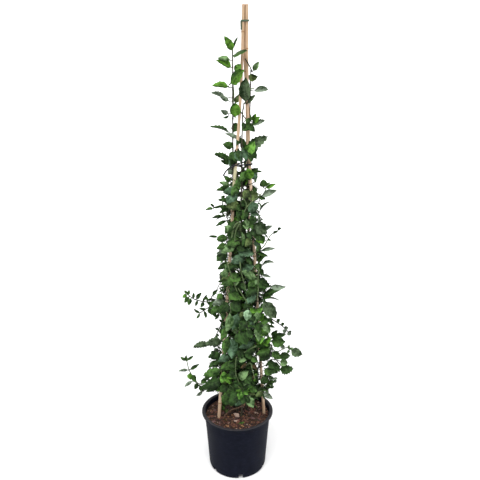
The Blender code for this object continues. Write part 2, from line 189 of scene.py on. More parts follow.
def pointAlong(path, distance):
    # the point at a distance along a path, and the path's direction there
    for start, end in zip(path, path[1:]):
        piece = (end - start).length
        if distance <= piece:
            return start.lerp(end, distance / piece), (end - start).normalized()
        distance -= piece
    return path[-1].copy(), (path[-1] - path[-2]).normalized()


def pointAtHeight(path, height):
    for start, end in zip(path, path[1:]):
        if start.z <= height <= end.z:
            share = (height - start.z) / (end.z - start.z)
            return start.lerp(end, share), (end - start).normalized()
    return path[-1].copy(), (path[-1] - path[-2]).normalized()


def tubes(name, runs, sides, finish):
    # closed round limbs in one mesh; each run is its points and its radii
    curve = bpy.data.curves.new(name, "CURVE")
    curve.dimensions = "3D"
    curve.bevel_depth = 1.0
    curve.bevel_resolution = sides // 2 - 2
    curve.use_fill_caps = True
    for path, radii in runs:
        spline = curve.splines.new("POLY")
        spline.points.add(len(path) - 1)
        for point, place, radius in zip(spline.points, path, radii):
            point.co = (*place, 1.0)
            point.radius = radius
    guide = bpy.data.objects.new(name, curve)
    putInScene(guide)
    makeActive(guide)
    bpy.ops.object.convert(target="MESH")
    piece = bpy.context.object
    closeUp(piece)
    giveMaterials(piece, finish)
    return piece


def between(table, height):
    # the value at a height, straight between the rows of a (height, value) table
    for (low, first), (high, second) in zip(table, table[1:]):
        if height <= high:
            share = max(0.0, (height - low) / (high - low))
            return first + (second - first) * share
    return table[-1][1]


# ---- materials


def newFinish(name, roughness=0.5, specular=0.5):
    finish = bpy.data.materials.new(name)
    finish.use_nodes = True
    shader = finish.node_tree.nodes["Principled BSDF"]
    shader.inputs["Roughness"].default_value = roughness
    shader.inputs["Specular IOR Level"].default_value = specular
    return finish


def addNode(finish, kind, **settings):
    node = finish.node_tree.nodes.new("ShaderNode" + kind)
    for key, value in settings.items():
        setattr(node, key, value)
    return node


def feed(finish, socket, value):
    # a link from another node's output, or a plain number or colour
    if isinstance(value, bpy.types.NodeSocket):
        finish.node_tree.links.new(value, socket)
    elif isinstance(value, tuple) and len(value) == 3 and socket.type == "RGBA":
        socket.default_value = (*value, 1.0)
    else:
        socket.default_value = value


def paint(finish, **values):
    # feeds the shader's own sockets: colour, gloss and relief
    shader = finish.node_tree.nodes["Principled BSDF"]
    names = {"colour": "Base Color", "gloss": "Roughness", "normal": "Normal"}
    for key, value in values.items():
        feed(finish, shader.inputs[names[key]], value)
    return finish


def objectPlace(finish, stretch=(1, 1, 1)):
    mapping = addNode(finish, "Mapping")
    mapping.inputs["Scale"].default_value = stretch
    feed(finish, mapping.inputs["Vector"], addNode(finish, "TexCoord").outputs["Object"])
    return mapping.outputs["Vector"]


def noise(finish, scale, detail=3.0, roughness=0.5, stretch=(1, 1, 1)):
    node = addNode(finish, "TexNoise")
    for key, value in (("Scale", scale), ("Detail", detail), ("Roughness", roughness),
                       ("Vector", objectPlace(finish, stretch))):
        feed(finish, node.inputs[key], value)
    return node.outputs["Fac"]


def calc(finish, operation, first, second=0.0):
    node = addNode(finish, "Math", operation=operation)
    feed(finish, node.inputs[0], first)
    feed(finish, node.inputs[1], second)
    return node.outputs[0]


def ramp(finish, value, *stops):
    # each stop is a position and a colour or a grey
    node = addNode(finish, "ValToRGB")
    elements = node.color_ramp.elements
    while len(elements) < len(stops):
        elements.new(0.5)
    for element, (position, colour) in zip(elements, stops):
        element.position = position
        element.color = (*colour, 1.0) if isinstance(colour, tuple) else (colour, colour, colour, 1.0)
    feed(finish, node.inputs["Fac"], value)
    return node.outputs["Color"]


def blendColours(finish, share, first, second):
    node = addNode(finish, "Mix", data_type="RGBA")
    feed(finish, node.inputs[0], share)
    feed(finish, node.inputs[6], first)
    feed(finish, node.inputs[7], second)
    return node.outputs[2]


def relief(finish, height, distance, strength=1.0):
    node = addNode(finish, "Bump")
    feed(finish, node.inputs["Distance"], distance)
    feed(finish, node.inputs["Strength"], strength)
    feed(finish, node.inputs["Height"], height)
    return node.outputs["Normal"]


def shade(colour, share):
    return tuple(min(1.0, channel * share) for channel in colour)


# the sage, pale, mist and grey tints are paler grey-greens: partly the leaves' own colour, partly painted sheen
# of glossy leaves
leafColours = {  # upper side, veins, underside
    "dark": ((0.016, 0.037, 0.009), (0.042, 0.078, 0.026), (0.048, 0.08, 0.032)),
    "mid": ((0.031, 0.07, 0.015), (0.075, 0.135, 0.042), (0.085, 0.13, 0.05)),
    "olive": ((0.05, 0.074, 0.024), (0.11, 0.135, 0.055), (0.11, 0.13, 0.06)),
    "fresh": ((0.045, 0.112, 0.012), (0.1, 0.2, 0.04), (0.115, 0.2, 0.052)),
    "lime": ((0.074, 0.175, 0.028), (0.135, 0.26, 0.065), (0.13, 0.225, 0.065)),
    "sage": ((0.088, 0.15, 0.06), (0.16, 0.24, 0.115), (0.13, 0.19, 0.09)),
    "pale": ((0.16, 0.255, 0.15), (0.23, 0.33, 0.21), (0.18, 0.26, 0.15)),
    "blue": ((0.036, 0.068, 0.036), (0.08, 0.13, 0.078), (0.08, 0.12, 0.07)),
    "mist": ((0.06, 0.112, 0.064), (0.11, 0.18, 0.115), (0.1, 0.155, 0.095)),
    "dusk": ((0.04, 0.062, 0.03), (0.085, 0.12, 0.068), (0.08, 0.11, 0.065)),
    "grey": ((0.095, 0.125, 0.086), (0.16, 0.19, 0.145), (0.12, 0.145, 0.105)),
    "brown": ((0.045, 0.03, 0.014), (0.085, 0.062, 0.034), (0.07, 0.052, 0.03)),
}


leafLook = {"veinPairs": 13.0, "veinSlant": 7.0, "shadedHalf": 0.22, "deep": (0.12, 0.24, 0.08), "veinShare": 0.5}


def leafTop(tint):
    # a glossy blade with a pale midrib and side veins, which follow its own map
    blade, vein, _ = leafColours[tint]
    finish = newFinish("leafTop" + tint.capitalize(), specular=0.07)
    split = addNode(finish, "SeparateXYZ")
    feed(finish, split.inputs[0], addNode(finish, "TexCoord").outputs["UV"])
    across = calc(finish, "ABSOLUTE", calc(finish, "SUBTRACT", split.outputs[0], 0.5))
    midrib = ramp(finish, across, (0.015, 1.0), (0.045, 0.0))
    slant = calc(finish, "SUBTRACT", calc(finish, "MULTIPLY", split.outputs[1], leafLook["veinPairs"]),
                 calc(finish, "MULTIPLY", across, leafLook["veinSlant"]))
    sideVeins = ramp(finish, calc(finish, "PINGPONG", slant, 0.5), (0.02, 0.8), (0.12, 0.0))
    veins = calc(finish, "MAXIMUM", midrib, sideVeins)
    # one half of the blade is painted darker than the other: painted shade, as if light fell on the other half
    offMiddle = calc(finish, "SUBTRACT", split.outputs[0], 0.5)
    lean = calc(finish, "MULTIPLY", offMiddle, leafLook["shadedHalf"])
    # blotches in two sizes: partly the leaf's own uneven tone; the ramp turns their dark end into painted shade
    # and their light end into painted highlights
    twoSizes = calc(finish, "ADD", noise(finish, 42, 2.0), noise(finish, 130, 2.0))
    blotches = calc(finish, "MULTIPLY", twoSizes, 0.5)
    mottleAndPaintedLight = calc(finish, "ADD", blotches, lean)
    deep = tuple(channel * share for channel, share in zip(blade, leafLook["deep"]))
    base = ramp(finish, mottleAndPaintedLight, (0.36, deep), (0.5, shade(blade, 0.95)), (0.62, shade(blade, 2.2)))
    fine = calc(finish, "MULTIPLY", noise(finish, 700, 2.0), 0.3)
    shown = calc(finish, "MULTIPLY", veins, leafLook["veinShare"])
    return paint(finish, colour=blendColours(finish, shown, base, vein),
                 gloss=ramp(finish, noise(finish, 120, 2.0), (0.35, 0.36), (0.7, 0.55)),
                 normal=relief(finish, calc(finish, "SUBTRACT", fine, veins), 0.0004, 0.6))


def leafUnder(tint):
    under = leafColours[tint][2]
    finish = newFinish("leafUnder" + tint.capitalize(), 0.65, 0.06)
    return paint(finish, colour=ramp(finish, noise(finish, 70, 2.0), (0.35, shade(under, 0.82)),
                                     (0.65, shade(under, 1.15))),
                 normal=relief(finish, noise(finish, 500, 2.0), 0.0002, 0.4))


def streakedBark(name, roughness, scale, reliefDepth, *stops):
    finish = newFinish(name, roughness, 0.15)
    streaks = noise(finish, scale, 4.0, 0.6, (1, 1, 0.15))
    return paint(finish, colour=ramp(finish, streaks, *stops), normal=relief(finish, streaks, reliefDepth, 0.8))


def woodyBark():
    finish = newFinish("woodyBark", 0.78, 0.15)
    streaks = noise(finish, 420, 4.0, 0.6, (1, 1, 0.12))
    bark = ramp(finish, streaks, (0.32, (0.02, 0.017, 0.011)), (0.5, (0.05, 0.042, 0.028)),
                (0.7, (0.11, 0.096, 0.068)))
    green = ramp(finish, noise(finish, 38, 2.0), (0.45, 0.0), (0.62, 0.55))
    return paint(finish, colour=blendColours(finish, green, bark, (0.042, 0.058, 0.026)),
                 normal=relief(finish, streaks, 0.0006, 0.8))


def bambooSkin():
    finish = newFinish("bambooSkin", specular=0.3)
    fibres = noise(finish, 900, 4.0, 0.6, (1, 1, 0.02))
    patches = noise(finish, 16, 3.0, stretch=(1, 1, 0.5))
    skin = ramp(finish, fibres, (0.3, (0.27, 0.15, 0.075)), (0.5, (0.5, 0.34, 0.22)),
                (0.72, (0.64, 0.48, 0.345)))
    weathered = ramp(finish, patches, (0.48, 0.0), (0.66, 0.4))
    split = addNode(finish, "SeparateXYZ")
    feed(finish, split.inputs[0], objectPlace(finish))
    halfHeight = calc(finish, "MULTIPLY", split.outputs[2], 0.5)       # a ramp ends at 1
    # the canes are painted lighter from near the compost to about 1.2 m up: painted light, making up for the
    # foliage's shade on them
    pale = ramp(finish, halfHeight, (0.12, 0.1), (0.16, 0.6), (0.54, 0.5), (0.62, 0.0))
    greenBand = ramp(finish, halfHeight, (0.5, 0.0), (0.512, 0.7), (0.545, 0.7), (0.552, 0.0))
    green = calc(finish, "MULTIPLY", greenBand, ramp(finish, split.outputs[0], (0.01, 1.0), (0.02, 0.0)))
    skin = blendColours(finish, pale, skin, (0.8, 0.61, 0.44))
    skin = blendColours(finish, green, skin, (0.56, 0.6, 0.36))
    return paint(finish, colour=blendColours(finish, weathered, skin, (0.33, 0.24, 0.125)),
                 gloss=ramp(finish, patches, (0.35, 0.38), (0.65, 0.58)),
                 normal=relief(finish, fibres, 0.0003, 0.6))


def potPlastic():
    # matt black with an orange-peel skin, grey scuffs and a lip painted lighter: a painted highlight
    finish = newFinish("potPlastic", specular=0.04)
    scuffs = noise(finish, 60, 4.0, 0.7, (1, 1, 2.5))
    skin = ramp(finish, scuffs, (0.38, (0.0036, 0.0046, 0.0098)), (0.6, (0.0062, 0.0076, 0.015)),
                (0.8, (0.0135, 0.015, 0.0235)))
    split = addNode(finish, "SeparateXYZ")
    feed(finish, split.inputs[0], objectPlace(finish))
    # the top of the rim is painted light grey: a painted highlight along the lip
    lip = ramp(finish, split.outputs[2], (potSize["height"] - 0.0012, 0.0), (potSize["height"] - 0.0002, 1.0))
    return paint(finish, colour=blendColours(finish, lip, skin, (0.09, 0.084, 0.082)),
                 gloss=ramp(finish, scuffs, (0.35, 0.5), (0.7, 0.66)),
                 normal=relief(finish, noise(finish, 1500, 2.0), 0.0002, 0.5))


def compostFines():
    finish = newFinish("compostFines", 0.95, 0.2)
    soilColour = ramp(finish, noise(finish, 150, 5.0, 0.7), (0.36, (0.006, 0.004, 0.003)),
                      (0.47, (0.04, 0.022, 0.016)), (0.58, (0.12, 0.062, 0.04)),
                      (0.7, (0.26, 0.145, 0.085)))
    return paint(finish, colour=soilColour, normal=relief(finish, noise(finish, 480, 4.0, 0.7), 0.0016))


def grained(name, dark, light, roughness=0.8, grainScale=520, depth=0.0005):
    # a dull finish whose colour runs from dark to light with a fine grain
    finish = newFinish(name, roughness, 0.3)
    grain = noise(finish, grainScale, 4.0, 0.6)
    return paint(finish, colour=ramp(finish, grain, (0.35, dark), (0.65, light)),
                 normal=relief(finish, grain, depth, 0.8))


# ---- pot


potSize = {
    "height": 0.2165, "rimRadius": 0.1266, "wallTopRadius": 0.1158, "wallLowRadius": 0.1025,
    "footRadius": 0.0951, "footRise": 0.017, "flange": 0.005, "wall": 0.0022,
    "padRadius": 0.062, "channelRise": 0.01, "ringWidth": 0.0045,
    "edge": 0.0016,              # rounding of the rim's lip
    "segments": 96, "footSteps": 8, "wallSteps": 12, "lipSteps": 4,
    "band": (9, 10), "bandRise": 0.0006,          # steps of the wall that a shallow moulded band covers
    "middle": 0.004,             # radius of the first ring, which a face closes
    "neck": 0.003, "neckRound": 0.0008,           # where the wall ends under the flange
    "notchRound": 0.003,
    "notches": 6, "notchWidth": 0.0162, "notchRise": 0.018, "notchDepth": 0.03,
    "firstNotch": math.radians(-83),
}


def arc(radius, height, size, start, end, steps):
    # (radius, height) points round a corner, its angles measured from outwards up
    turns = [math.radians(start + (end - start) * step / steps) for step in range(steps + 1)]
    return [(radius + size * math.cos(turn), height + size * math.sin(turn)) for turn in turns]


def potProfile():
    # from the underside's middle out and up the outer wall, over the rim and down inside to the floor
    size = potSize
    top, rim, edge = size["height"], size["rimRadius"], size["edge"]
    wallTop, wallLow, wall = size["wallTopRadius"], size["wallLowRadius"], size["wall"]
    under = top - size["flange"]
    ringIn = size["footRadius"] - size["ringWidth"]
    foot = []
    for step in range(size["footSteps"] + 1):
        turn = math.pi / 2 * (1 - step / size["footSteps"])
        foot.append((size["footRadius"] + (wallLow - size["footRadius"]) * math.cos(turn),
                     size["footRise"] * (1 - math.sin(turn))))
    walls = []
    for step in range(1, size["wallSteps"]):
        share = step / size["wallSteps"]
        bulge = size["bandRise"] if step in size["band"] else 0.0
        walls.append((wallLow + (wallTop - wallLow) * share + bulge,
                      size["footRise"] + (under - size["neck"] - size["footRise"]) * share))
    steps, neckRound = size["lipSteps"], size["neckRound"]
    lip = arc(rim - edge, under + edge, edge, -90, 0, steps) + arc(rim - edge, top - edge, edge, 0, 90, steps)
    inner = wallTop - wall
    floor = size["channelRise"] + wall
    return [
        (size["middle"], 0.0), (size["padRadius"], 0.0), (size["padRadius"] + wall * 1.5, size["channelRise"]),
        (ringIn, size["channelRise"]), (ringIn, 0.0012), (ringIn + 0.0012, 0.0),
        *foot[1:], *walls, (wallTop, under - size["neck"]), (wallTop + neckRound, under - neckRound),
        (wallTop + 0.002, under),
        *lip, (wallTop + 0.0012, top - 0.0004), (inner + wall * 0.6, top - 0.001),
        (inner, under), (inner - neckRound, under - 0.006), (wallLow - wall, size["footRise"] + wall),
        (ringIn + wall, floor), (size["padRadius"] + wall, floor), (size["padRadius"] - wall, wall),
        (size["middle"], wall),
    ]


def growRings(profile):
    # extrudes the selected open ring through each (radius, height) in turn
    radius, height = profile[0]
    for nextRadius, nextHeight in profile[1:]:
        bpy.ops.mesh.extrude_edges_move(TRANSFORM_OT_translate={"value": (0, 0, nextHeight - height)})
        share = nextRadius / radius
        bpy.ops.transform.resize(value=(share, share, 1), center_override=(0, 0, nextHeight))
        radius, height = nextRadius, nextHeight


def modelPot():
    size = potSize
    profile = potProfile()
    clearSelection()
    bpy.ops.mesh.primitive_circle_add(vertices=size["segments"], radius=profile[0][0], location=(0, 0, 0))
    pot = bpy.context.object
    editAll()
    growRings(profile)
    bpy.ops.mesh.edge_face_add()                        # closes the floor's middle
    pickPoints(pot, lambda co: co.z < 0.0001 and co.xy.length < profile[0][0] + 0.0001)
    bpy.ops.mesh.edge_face_add()                        # and the underside's
    leaveEditing()
    closeUp(pot)
    cutters = []
    for index in range(size["notches"]):
        turn = size["firstNotch"] + math.tau * index / size["notches"]
        reach = size["footRadius"] - size["ringWidth"] / 2
        clearSelection()
        bpy.ops.mesh.primitive_cube_add(size=1, location=(reach * math.cos(turn), reach * math.sin(turn), 0),
                                        rotation=(0, 0, turn))
        cutter = bpy.context.object
        cutter.scale = (size["notchDepth"], size["notchWidth"], size["notchRise"] * 2)
        bpy.ops.object.transform_apply(location=False, rotation=False, scale=True)
        bevel = cutter.modifiers.new("Round corners", "BEVEL")
        bevel.width = size["notchRound"]
        bevel.segments = 3
        applyModifiers(cutter)
        cutters.append(cutter)
        notch = pot.modifiers.new("Notch", "BOOLEAN")
        notch.operation = "DIFFERENCE"
        notch.object = cutter
    applyModifiers(pot)
    for cutter in cutters:
        bpy.data.objects.remove(cutter)
    giveMaterials(pot, potPlastic())
    shadeRound(pot, 35)
    putOnPlant(pot, "growersPot", ["pot"])


# ---- compost


soil = {
    "level": 0.201, "heap": 0.002, "depth": 0.02, "rings": 30, "segments": 96,
    "wallSpace": 0.0012,         # stops this far short of the wall
    "skirtIn": 0.002, "movingDepth": 0.0045, "stillEdge": 0.001,      # what the relief may move
    "relief": (("lumps", 0.022, 0.0032), ("grit", 0.007, 0.0014)),     # name, size and height
}


def soilEdgeRadius():
    size = potSize
    top, low = size["wallTopRadius"] - size["wall"], size["wallLowRadius"] - size["wall"]
    share = (soil["level"] - size["footRise"]) / (size["height"] - size["flange"] - size["footRise"])
    return low + (top - low) * share - soil["wallSpace"]


def modelSoil():
    edge = soilEdgeRadius()
    bottom = soil["level"] - soil["depth"]
    rings = [(edge - soil["skirtIn"], bottom), (edge, soil["level"] - soil["heap"])]
    for step in range(1, soil["rings"]):
        share = 1 - step / soil["rings"]
        rings.append((edge * share, soil["level"] - soil["heap"] * max(0.0, share - 0.5) * 2))
    clearSelection()
    bpy.ops.mesh.primitive_circle_add(vertices=soil["segments"], radius=rings[0][0], fill_type="NOTHING",
                                      location=(0, 0, bottom))
    ground = bpy.context.object
    bpy.ops.object.transform_apply(location=True)
    editAll()
    growRings(rings)
    bpy.ops.mesh.edge_face_add()
    pickPoints(ground, lambda co: abs(co.z - bottom) < 0.0001)
    bpy.ops.mesh.edge_face_add()
    leaveEditing()
    closeUp(ground)
    upper = ground.vertex_groups.new(name="upper")
    upper.add([point.index for point in ground.data.vertices if point.co.z > soil["level"] - soil["movingDepth"]
               and point.co.xy.length < edge - soil["stillEdge"]], 1.0, "REPLACE")
    for name, scale, strength in soil["relief"]:
        texture = bpy.data.textures.new(name, "CLOUDS")
        texture.noise_scale = scale
        texture.noise_depth = 2
        heap = ground.modifiers.new(name, "DISPLACE")
        heap.texture = texture
        heap.texture_coords = "GLOBAL"
        heap.direction = "Z"
        heap.strength = strength * 2
        heap.mid_level = 0.5
        heap.vertex_group = "upper"
    applyModifiers(ground)
    ground.vertex_groups.clear()
    giveMaterials(ground, compostFines())
    shadeRound(ground, 60)
    putOnPlant(ground, "compostSurface", ["compost"])


chips = {
    "kinds": (  # name, how many, smallest and largest length, dark and light colour
        ("barkChipsDark", 330, 0.006, 0.021, (0.012, 0.007, 0.006), (0.075, 0.042, 0.032)),
        ("barkChipsRed", 230, 0.005, 0.018, (0.08, 0.028, 0.018), (0.26, 0.115, 0.08)),
        ("barkChipsPurple", 120, 0.005, 0.017, (0.07, 0.034, 0.036), (0.21, 0.125, 0.115)),
        ("barkChipsTan", 110, 0.003, 0.011, (0.2, 0.095, 0.04), (0.48, 0.26, 0.13)),
        ("barkChipsPale", 26, 0.006, 0.016, (0.38, 0.25, 0.19), (0.7, 0.52, 0.42)),
    ),
    "big": ("barkChipsPale", (-0.002, -0.02), 0.027, -0.85),      # the large pale flake: place, length, turn
    "bigRise": 0.004, "bigTip": 0.35,
    # heaped round each cane's foot
    "collar": 9, "collarReach": (0.008, 0.013), "collarLength": (0.006, 0.011),
    "collarRise": (0.0005, 0.0035), "collarLean": (0.1, 0.7),
    "flakes": 6, "flakeWidth": (0.35, 0.75), "flakeThickness": (0.1, 0.26), "cornerCut": 0.45,
    "edgeSpace": 0.004, "overEdge": 0.003, "caneSpace": 0.011, "smallBias": 1.8,
    "rise": (-0.0012, 0.003), "tipping": (0.3, 0.25),
    "seed": 17,
}


def modelChip(name, lengthShare, widthShare, thickness, dice):
    # a torn flake: a bevelled block whose corners are pulled about
    clearSelection()
    bpy.ops.mesh.primitive_cube_add(size=1)
    flake = bpy.context.object
    flake.name = name
    editAll()
    bpy.ops.mesh.subdivide(number_cuts=1)
    bpy.ops.transform.resize(value=(lengthShare, widthShare, thickness), center_override=(0, 0, 0))
    leaveEditing()
    for point in flake.data.vertices:
        corner = abs(point.co.x) > lengthShare * 0.4 and abs(point.co.y) > widthShare * 0.4
        middle = 1.0 - chips["cornerCut"] * corner
        point.co = Vector((point.co.x * middle, point.co.y * middle, point.co.z)) + Vector((
            dice.uniform(-0.1, 0.1) * lengthShare, dice.uniform(-0.12, 0.12) * widthShare,
            dice.uniform(-0.25, 0.25) * thickness))
    return flake


def collarChips(templates, dice):
    # small chips that lean against the foot of each cane
    copies = []
    for name in canes["each"]:
        foot = footPoint(name)
        for index in range(chips["collar"]):
            turn = math.tau * (index + dice.uniform(-0.3, 0.3)) / chips["collar"]
            reach, length = dice.uniform(*chips["collarReach"]), dice.uniform(*chips["collarLength"])
            place = Vector((foot.x + reach * math.cos(turn), foot.y + reach * math.sin(turn),
                            soil["level"] + dice.uniform(*chips["collarRise"])))
            lean = Matrix.Rotation(turn, 4, "Z") @ Matrix.Rotation(dice.uniform(*chips["collarLean"]), 4, "Y")
            copies.append(copyOf(dice.choice(templates), Matrix.Translation(place) @ lean
                                 @ Matrix.Diagonal((length, length, length, 1))))
    return copies


def scatterChips():
    dice = random.Random(chips["seed"])
    templates = [modelChip(f"flake{index}", 1.0, dice.uniform(*chips["flakeWidth"]),
                           dice.uniform(*chips["flakeThickness"]), dice) for index in range(chips["flakes"])]
    edge = soilEdgeRadius() - chips["edgeSpace"]
    for name, count, smallest, largest, dark, light in chips["kinds"]:
        copies = []
        while len(copies) < count:
            turn, reach = dice.uniform(0, math.tau), edge * math.sqrt(dice.random())
            place = Vector((reach * math.cos(turn), reach * math.sin(turn), 0))
            if any((place.xy - footPoint(foot)).length < chips["caneSpace"] for foot in canes["each"]):
                continue
            length = smallest + (largest - smallest) * dice.random() ** chips["smallBias"]
            if reach + length / 2 > edge + chips["overEdge"]:
                continue
            place.z = (soil["level"] + dice.uniform(*chips["rise"])
                       - soil["heap"] * max(0.0, reach / edge - 0.5) * 2)
            spin = Matrix.Rotation(dice.uniform(0, math.tau), 4, "Z")
            forwards, sideways = (dice.gauss(0, spread) for spread in chips["tipping"])
            tip = Matrix.Rotation(forwards, 4, "X") @ Matrix.Rotation(sideways, 4, "Y")
            size = Matrix.Diagonal((length, length, length, 1))
            copies.append(copyOf(dice.choice(templates), Matrix.Translation(place) @ spin @ tip @ size))
        if name in ("barkChipsRed", "barkChipsDark"):
            copies += collarChips(templates, dice)
        if name == chips["big"][0]:
            _, (x, y), length, turn = chips["big"]
            place = Matrix.Translation((x, y, soil["level"] + chips["bigRise"])) @ Matrix.Rotation(turn, 4, "Z")
            copies.append(copyOf(templates[0], place @ Matrix.Rotation(chips["bigTip"], 4, "X")
                                 @ Matrix.Diagonal((length, length, length, 1))))
        piece = joinAll(copies)
        giveMaterials(piece, grained(name + "Bark", dark, light, 0.88))
        putOnPlant(piece, name)
    for template in templates:
        bpy.data.objects.remove(template)


# ---- canes and ties


canes = {
    "top": 1.566, "topRadius": 0.0044, "ringEvery": 0.01, "sides": 18, "buried": 0.015,
    "nodeRings": ((-0.006, 1.03), (-0.003, 1.1), (-0.0012, 1.13), (-0.0002, 1.04), (0.0012, 1.15),
                  (0.0032, 1.07), (0.006, 1.01)),      # a groove between two swellings: rise and radius factor
    "nodeSpace": 0.007, "nodeBand": (-0.0022, 0.0008),                 # what stays plain, and what is darker
    "cutWall": 0.0016, "cutDepth": 0.012, "cutShown": 0.02,           # the hollow at the cut top
    # foot at soil level, top, sideways bow, foot radius, pull and where it starts, heights of the nodes
    "each": {
        "left": ((-0.065, -0.0263), (0.0193, -0.003), 0.0045, 0.0062, (0.005, 0.62),
                 (0.262, 0.42, 0.585, 0.765, 0.955, 1.15, 1.32, 1.492)),
        "right": ((0.0955, -0.002), (0.029, -0.003), -0.0095, 0.0052, (-0.0045, 0.52),
                  (0.3, 0.47, 0.65, 0.8, 0.99, 1.125, 1.29, 1.445)),
        "rear": ((0.047, 0.08), (0.0241, 0.0056), 0.002, 0.0054, (-0.003, 0.8),
                 (0.28, 0.455, 0.64, 0.83, 1.02, 1.21, 1.38, 1.532)),
    },
}


def footPoint(name):
    return Vector(canes["each"][name][0])


def caneCentre(name, height):
    foot, top, bow, _, (pull, pullStart), _ = canes["each"][name]
    share = (height - soil["level"]) / (canes["top"] - soil["level"])
    drawn = (share - pullStart) / (1 - pullStart)
    bowed = math.sin(math.pi * min(1.0, max(0.0, share)))
    pulled = math.sin(math.pi * min(1.0, max(0.0, drawn)))
    bend = bow * bowed + pull * pulled
    return Vector((foot[0] + (top[0] - foot[0]) * share + bend,
                   foot[1] + (top[1] - foot[1]) * share, height))


def caneRadius(name, height):
    footRadius = canes["each"][name][3]
    share = max(0.0, (height - soil["level"]) / (canes["top"] - soil["level"]))
    return footRadius + (canes["topRadius"] - footRadius) * share


def caneRings(name):
    # heights and radius factors: even rings, and the node rings at each node
    low, top = soil["level"] - canes["buried"], canes["top"]
    nodes = canes["each"][name][5]
    count = round((top - low) / canes["ringEvery"])
    even = [low + (top - low) * step / count for step in range(count + 1)]
    rings = [(height, 1.0) for height in even if all(abs(height - node) > canes["nodeSpace"] for node in nodes)]
    for node in nodes:
        rings += [(node + rise, factor) for rise, factor in canes["nodeRings"]]
    return sorted(rings)


def modelCane(name, caneFinishes):
    rings = caneRings(name)
    start = caneCentre(name, rings[0][0])
    radius = caneRadius(name, start.z)
    clearSelection()
    bpy.ops.mesh.primitive_circle_add(vertices=canes["sides"], radius=radius, fill_type="NGON", location=start)
    cane = bpy.context.object
    bpy.ops.object.transform_apply(location=True)
    editAll()
    here = start
    for height, factor in rings[1:]:
        there = caneCentre(name, height)
        nextRadius = caneRadius(name, height) * factor
        bpy.ops.mesh.extrude_region_move(TRANSFORM_OT_translate={"value": there - here})
        share = nextRadius / radius
        bpy.ops.transform.resize(value=(share, share, 1), center_override=there)
        here, radius = there, nextRadius
    bpy.ops.mesh.inset(thickness=canes["cutWall"])
    bpy.ops.mesh.extrude_region_move(TRANSFORM_OT_translate={"value": (0, 0, -canes["cutDepth"])})
    leaveEditing()
    closeUp(cane)
    giveMaterials(cane, *caneFinishes)
    nodes = canes["each"][name][5]
    bandLow, bandHigh = canes["nodeBand"]
    for face in cane.data.polygons:
        if any(bandLow < face.center.z - node < bandHigh for node in nodes):
            face.material_index = 1
        axis = caneCentre(name, face.center.z)
        inside = face.normal.xy.dot((face.center - axis).xy) < 0 or face.normal.z > 0.9
        if face.center.z > canes["top"] - canes["cutShown"] and inside:
            face.material_index = 2
    shadeRound(cane, 40)
    putOnPlant(cane, "cane" + name.capitalize(), ["cane_" + name])


ties = {
    "top": {"height": 1.5205, "radius": 0.0016, "tail": (0.0005, -0.003, -0.023), "turns": 2, "climb": 0.0045,
            "strandSteps": 24, "twists": 3},
    "middle": {"height": 1.1, "radius": 0.0024, "turns": 1, "climb": 0.003,
               "tail": ((223.2, 175.8, -0.036), (226, 171.2, -0.038), (229.6, 167.8, -0.037),
                        (233.8, 166.2, -0.03)),       # across and down the view, and depth
               "knot": ((-0.004, -0.002, -0.004), (0.001, -0.004, 0.002), (0.004, -0.001, -0.002),
                        (-0.001, -0.001, -0.005)), "knotThickness": 1.35},
    "cornerPoints": 7, "slack": 1.02, "start": 2,      # the loop's point where the ends leave it
}


def loopRoundCanes(height, wireRadius, climb, turns):
    # round the outside of the three canes, climbing a little at each turn
    reach = max(caneRadius(name, height) for name in canes["each"]) * ties["slack"] + wireRadius
    order = ("left", "right", "rear")
    path = []
    for _ in range(turns):
        for index, name in enumerate(order):
            centre = caneCentre(name, height)
            arrive = (centre - caneCentre(order[index - 1], height)).to_2d().normalized()
            leave = (caneCentre(order[(index + 1) % 3], height) - centre).to_2d().normalized()
            start = math.atan2(-arrive.x, arrive.y)
            sweep = math.atan2(arrive.cross(leave), arrive.dot(leave))
            for step in range(ties["cornerPoints"]):
                turn = start + sweep * step / (ties["cornerPoints"] - 1)
                path.append(centre + around(turn) * reach)
    for index, point in enumerate(path):
        point.z = height + climb * index / len(path)
    return path


def modelWireTie():
    size = ties["top"]
    loop = loopRoundCanes(size["height"] - 0.001, size["radius"], size["climb"], size["turns"])
    runs = [(loop, [size["radius"]] * len(loop))]
    start = loop[ties["start"]]
    tail = Vector(size["tail"])
    for phase in (0.0, math.pi):                       # the two ends, twisted together
        strand = []
        for step in range(size["strandSteps"] + 1):
            share = step / size["strandSteps"]
            turn = share * math.tau * size["twists"] + phase
            aside = around(turn) * size["radius"] * 0.9
            strand.append(start + tail * share + aside)
        runs.append((strand, [size["radius"] * 0.85] * len(strand)))
    wire = tubes("wire", runs, 8, grained("wireCoating", (0.045, 0.072, 0.044), (0.072, 0.112, 0.068), 0.42))
    shadeRound(wire, 60)
    putOnPlant(wire, "wireTie", ["tie_top"])


def modelBlackTie():
    size = ties["middle"]
    loop = loopRoundCanes(size["height"], size["radius"], size["climb"], size["turns"])
    start = loop[ties["start"]]
    tail = [fromView(*place) for place in size["tail"]]
    after = ties["start"] + 1
    path = smoothPath(tail + [start], 0.003) + loop[after:] + loop[:after]
    rubber = grained("tieRubber", (0.01, 0.01, 0.012), (0.02, 0.02, 0.023), 0.5)
    body = tubes("tie", [(path, [size["radius"]] * len(path))], 8, rubber)
    knot = smoothPath([start + Vector(offset) for offset in size["knot"]], 0.0015)
    lump = tubes("knot", [(knot, [size["radius"] * size["knotThickness"]] * len(knot))], 8, rubber)
    piece = joinAll([body, lump])
    shadeRound(piece, 60)
    putOnPlant(piece, "blackTie", ["tie_middle"])


# ---- the viewing place, which also decides where the plant is open


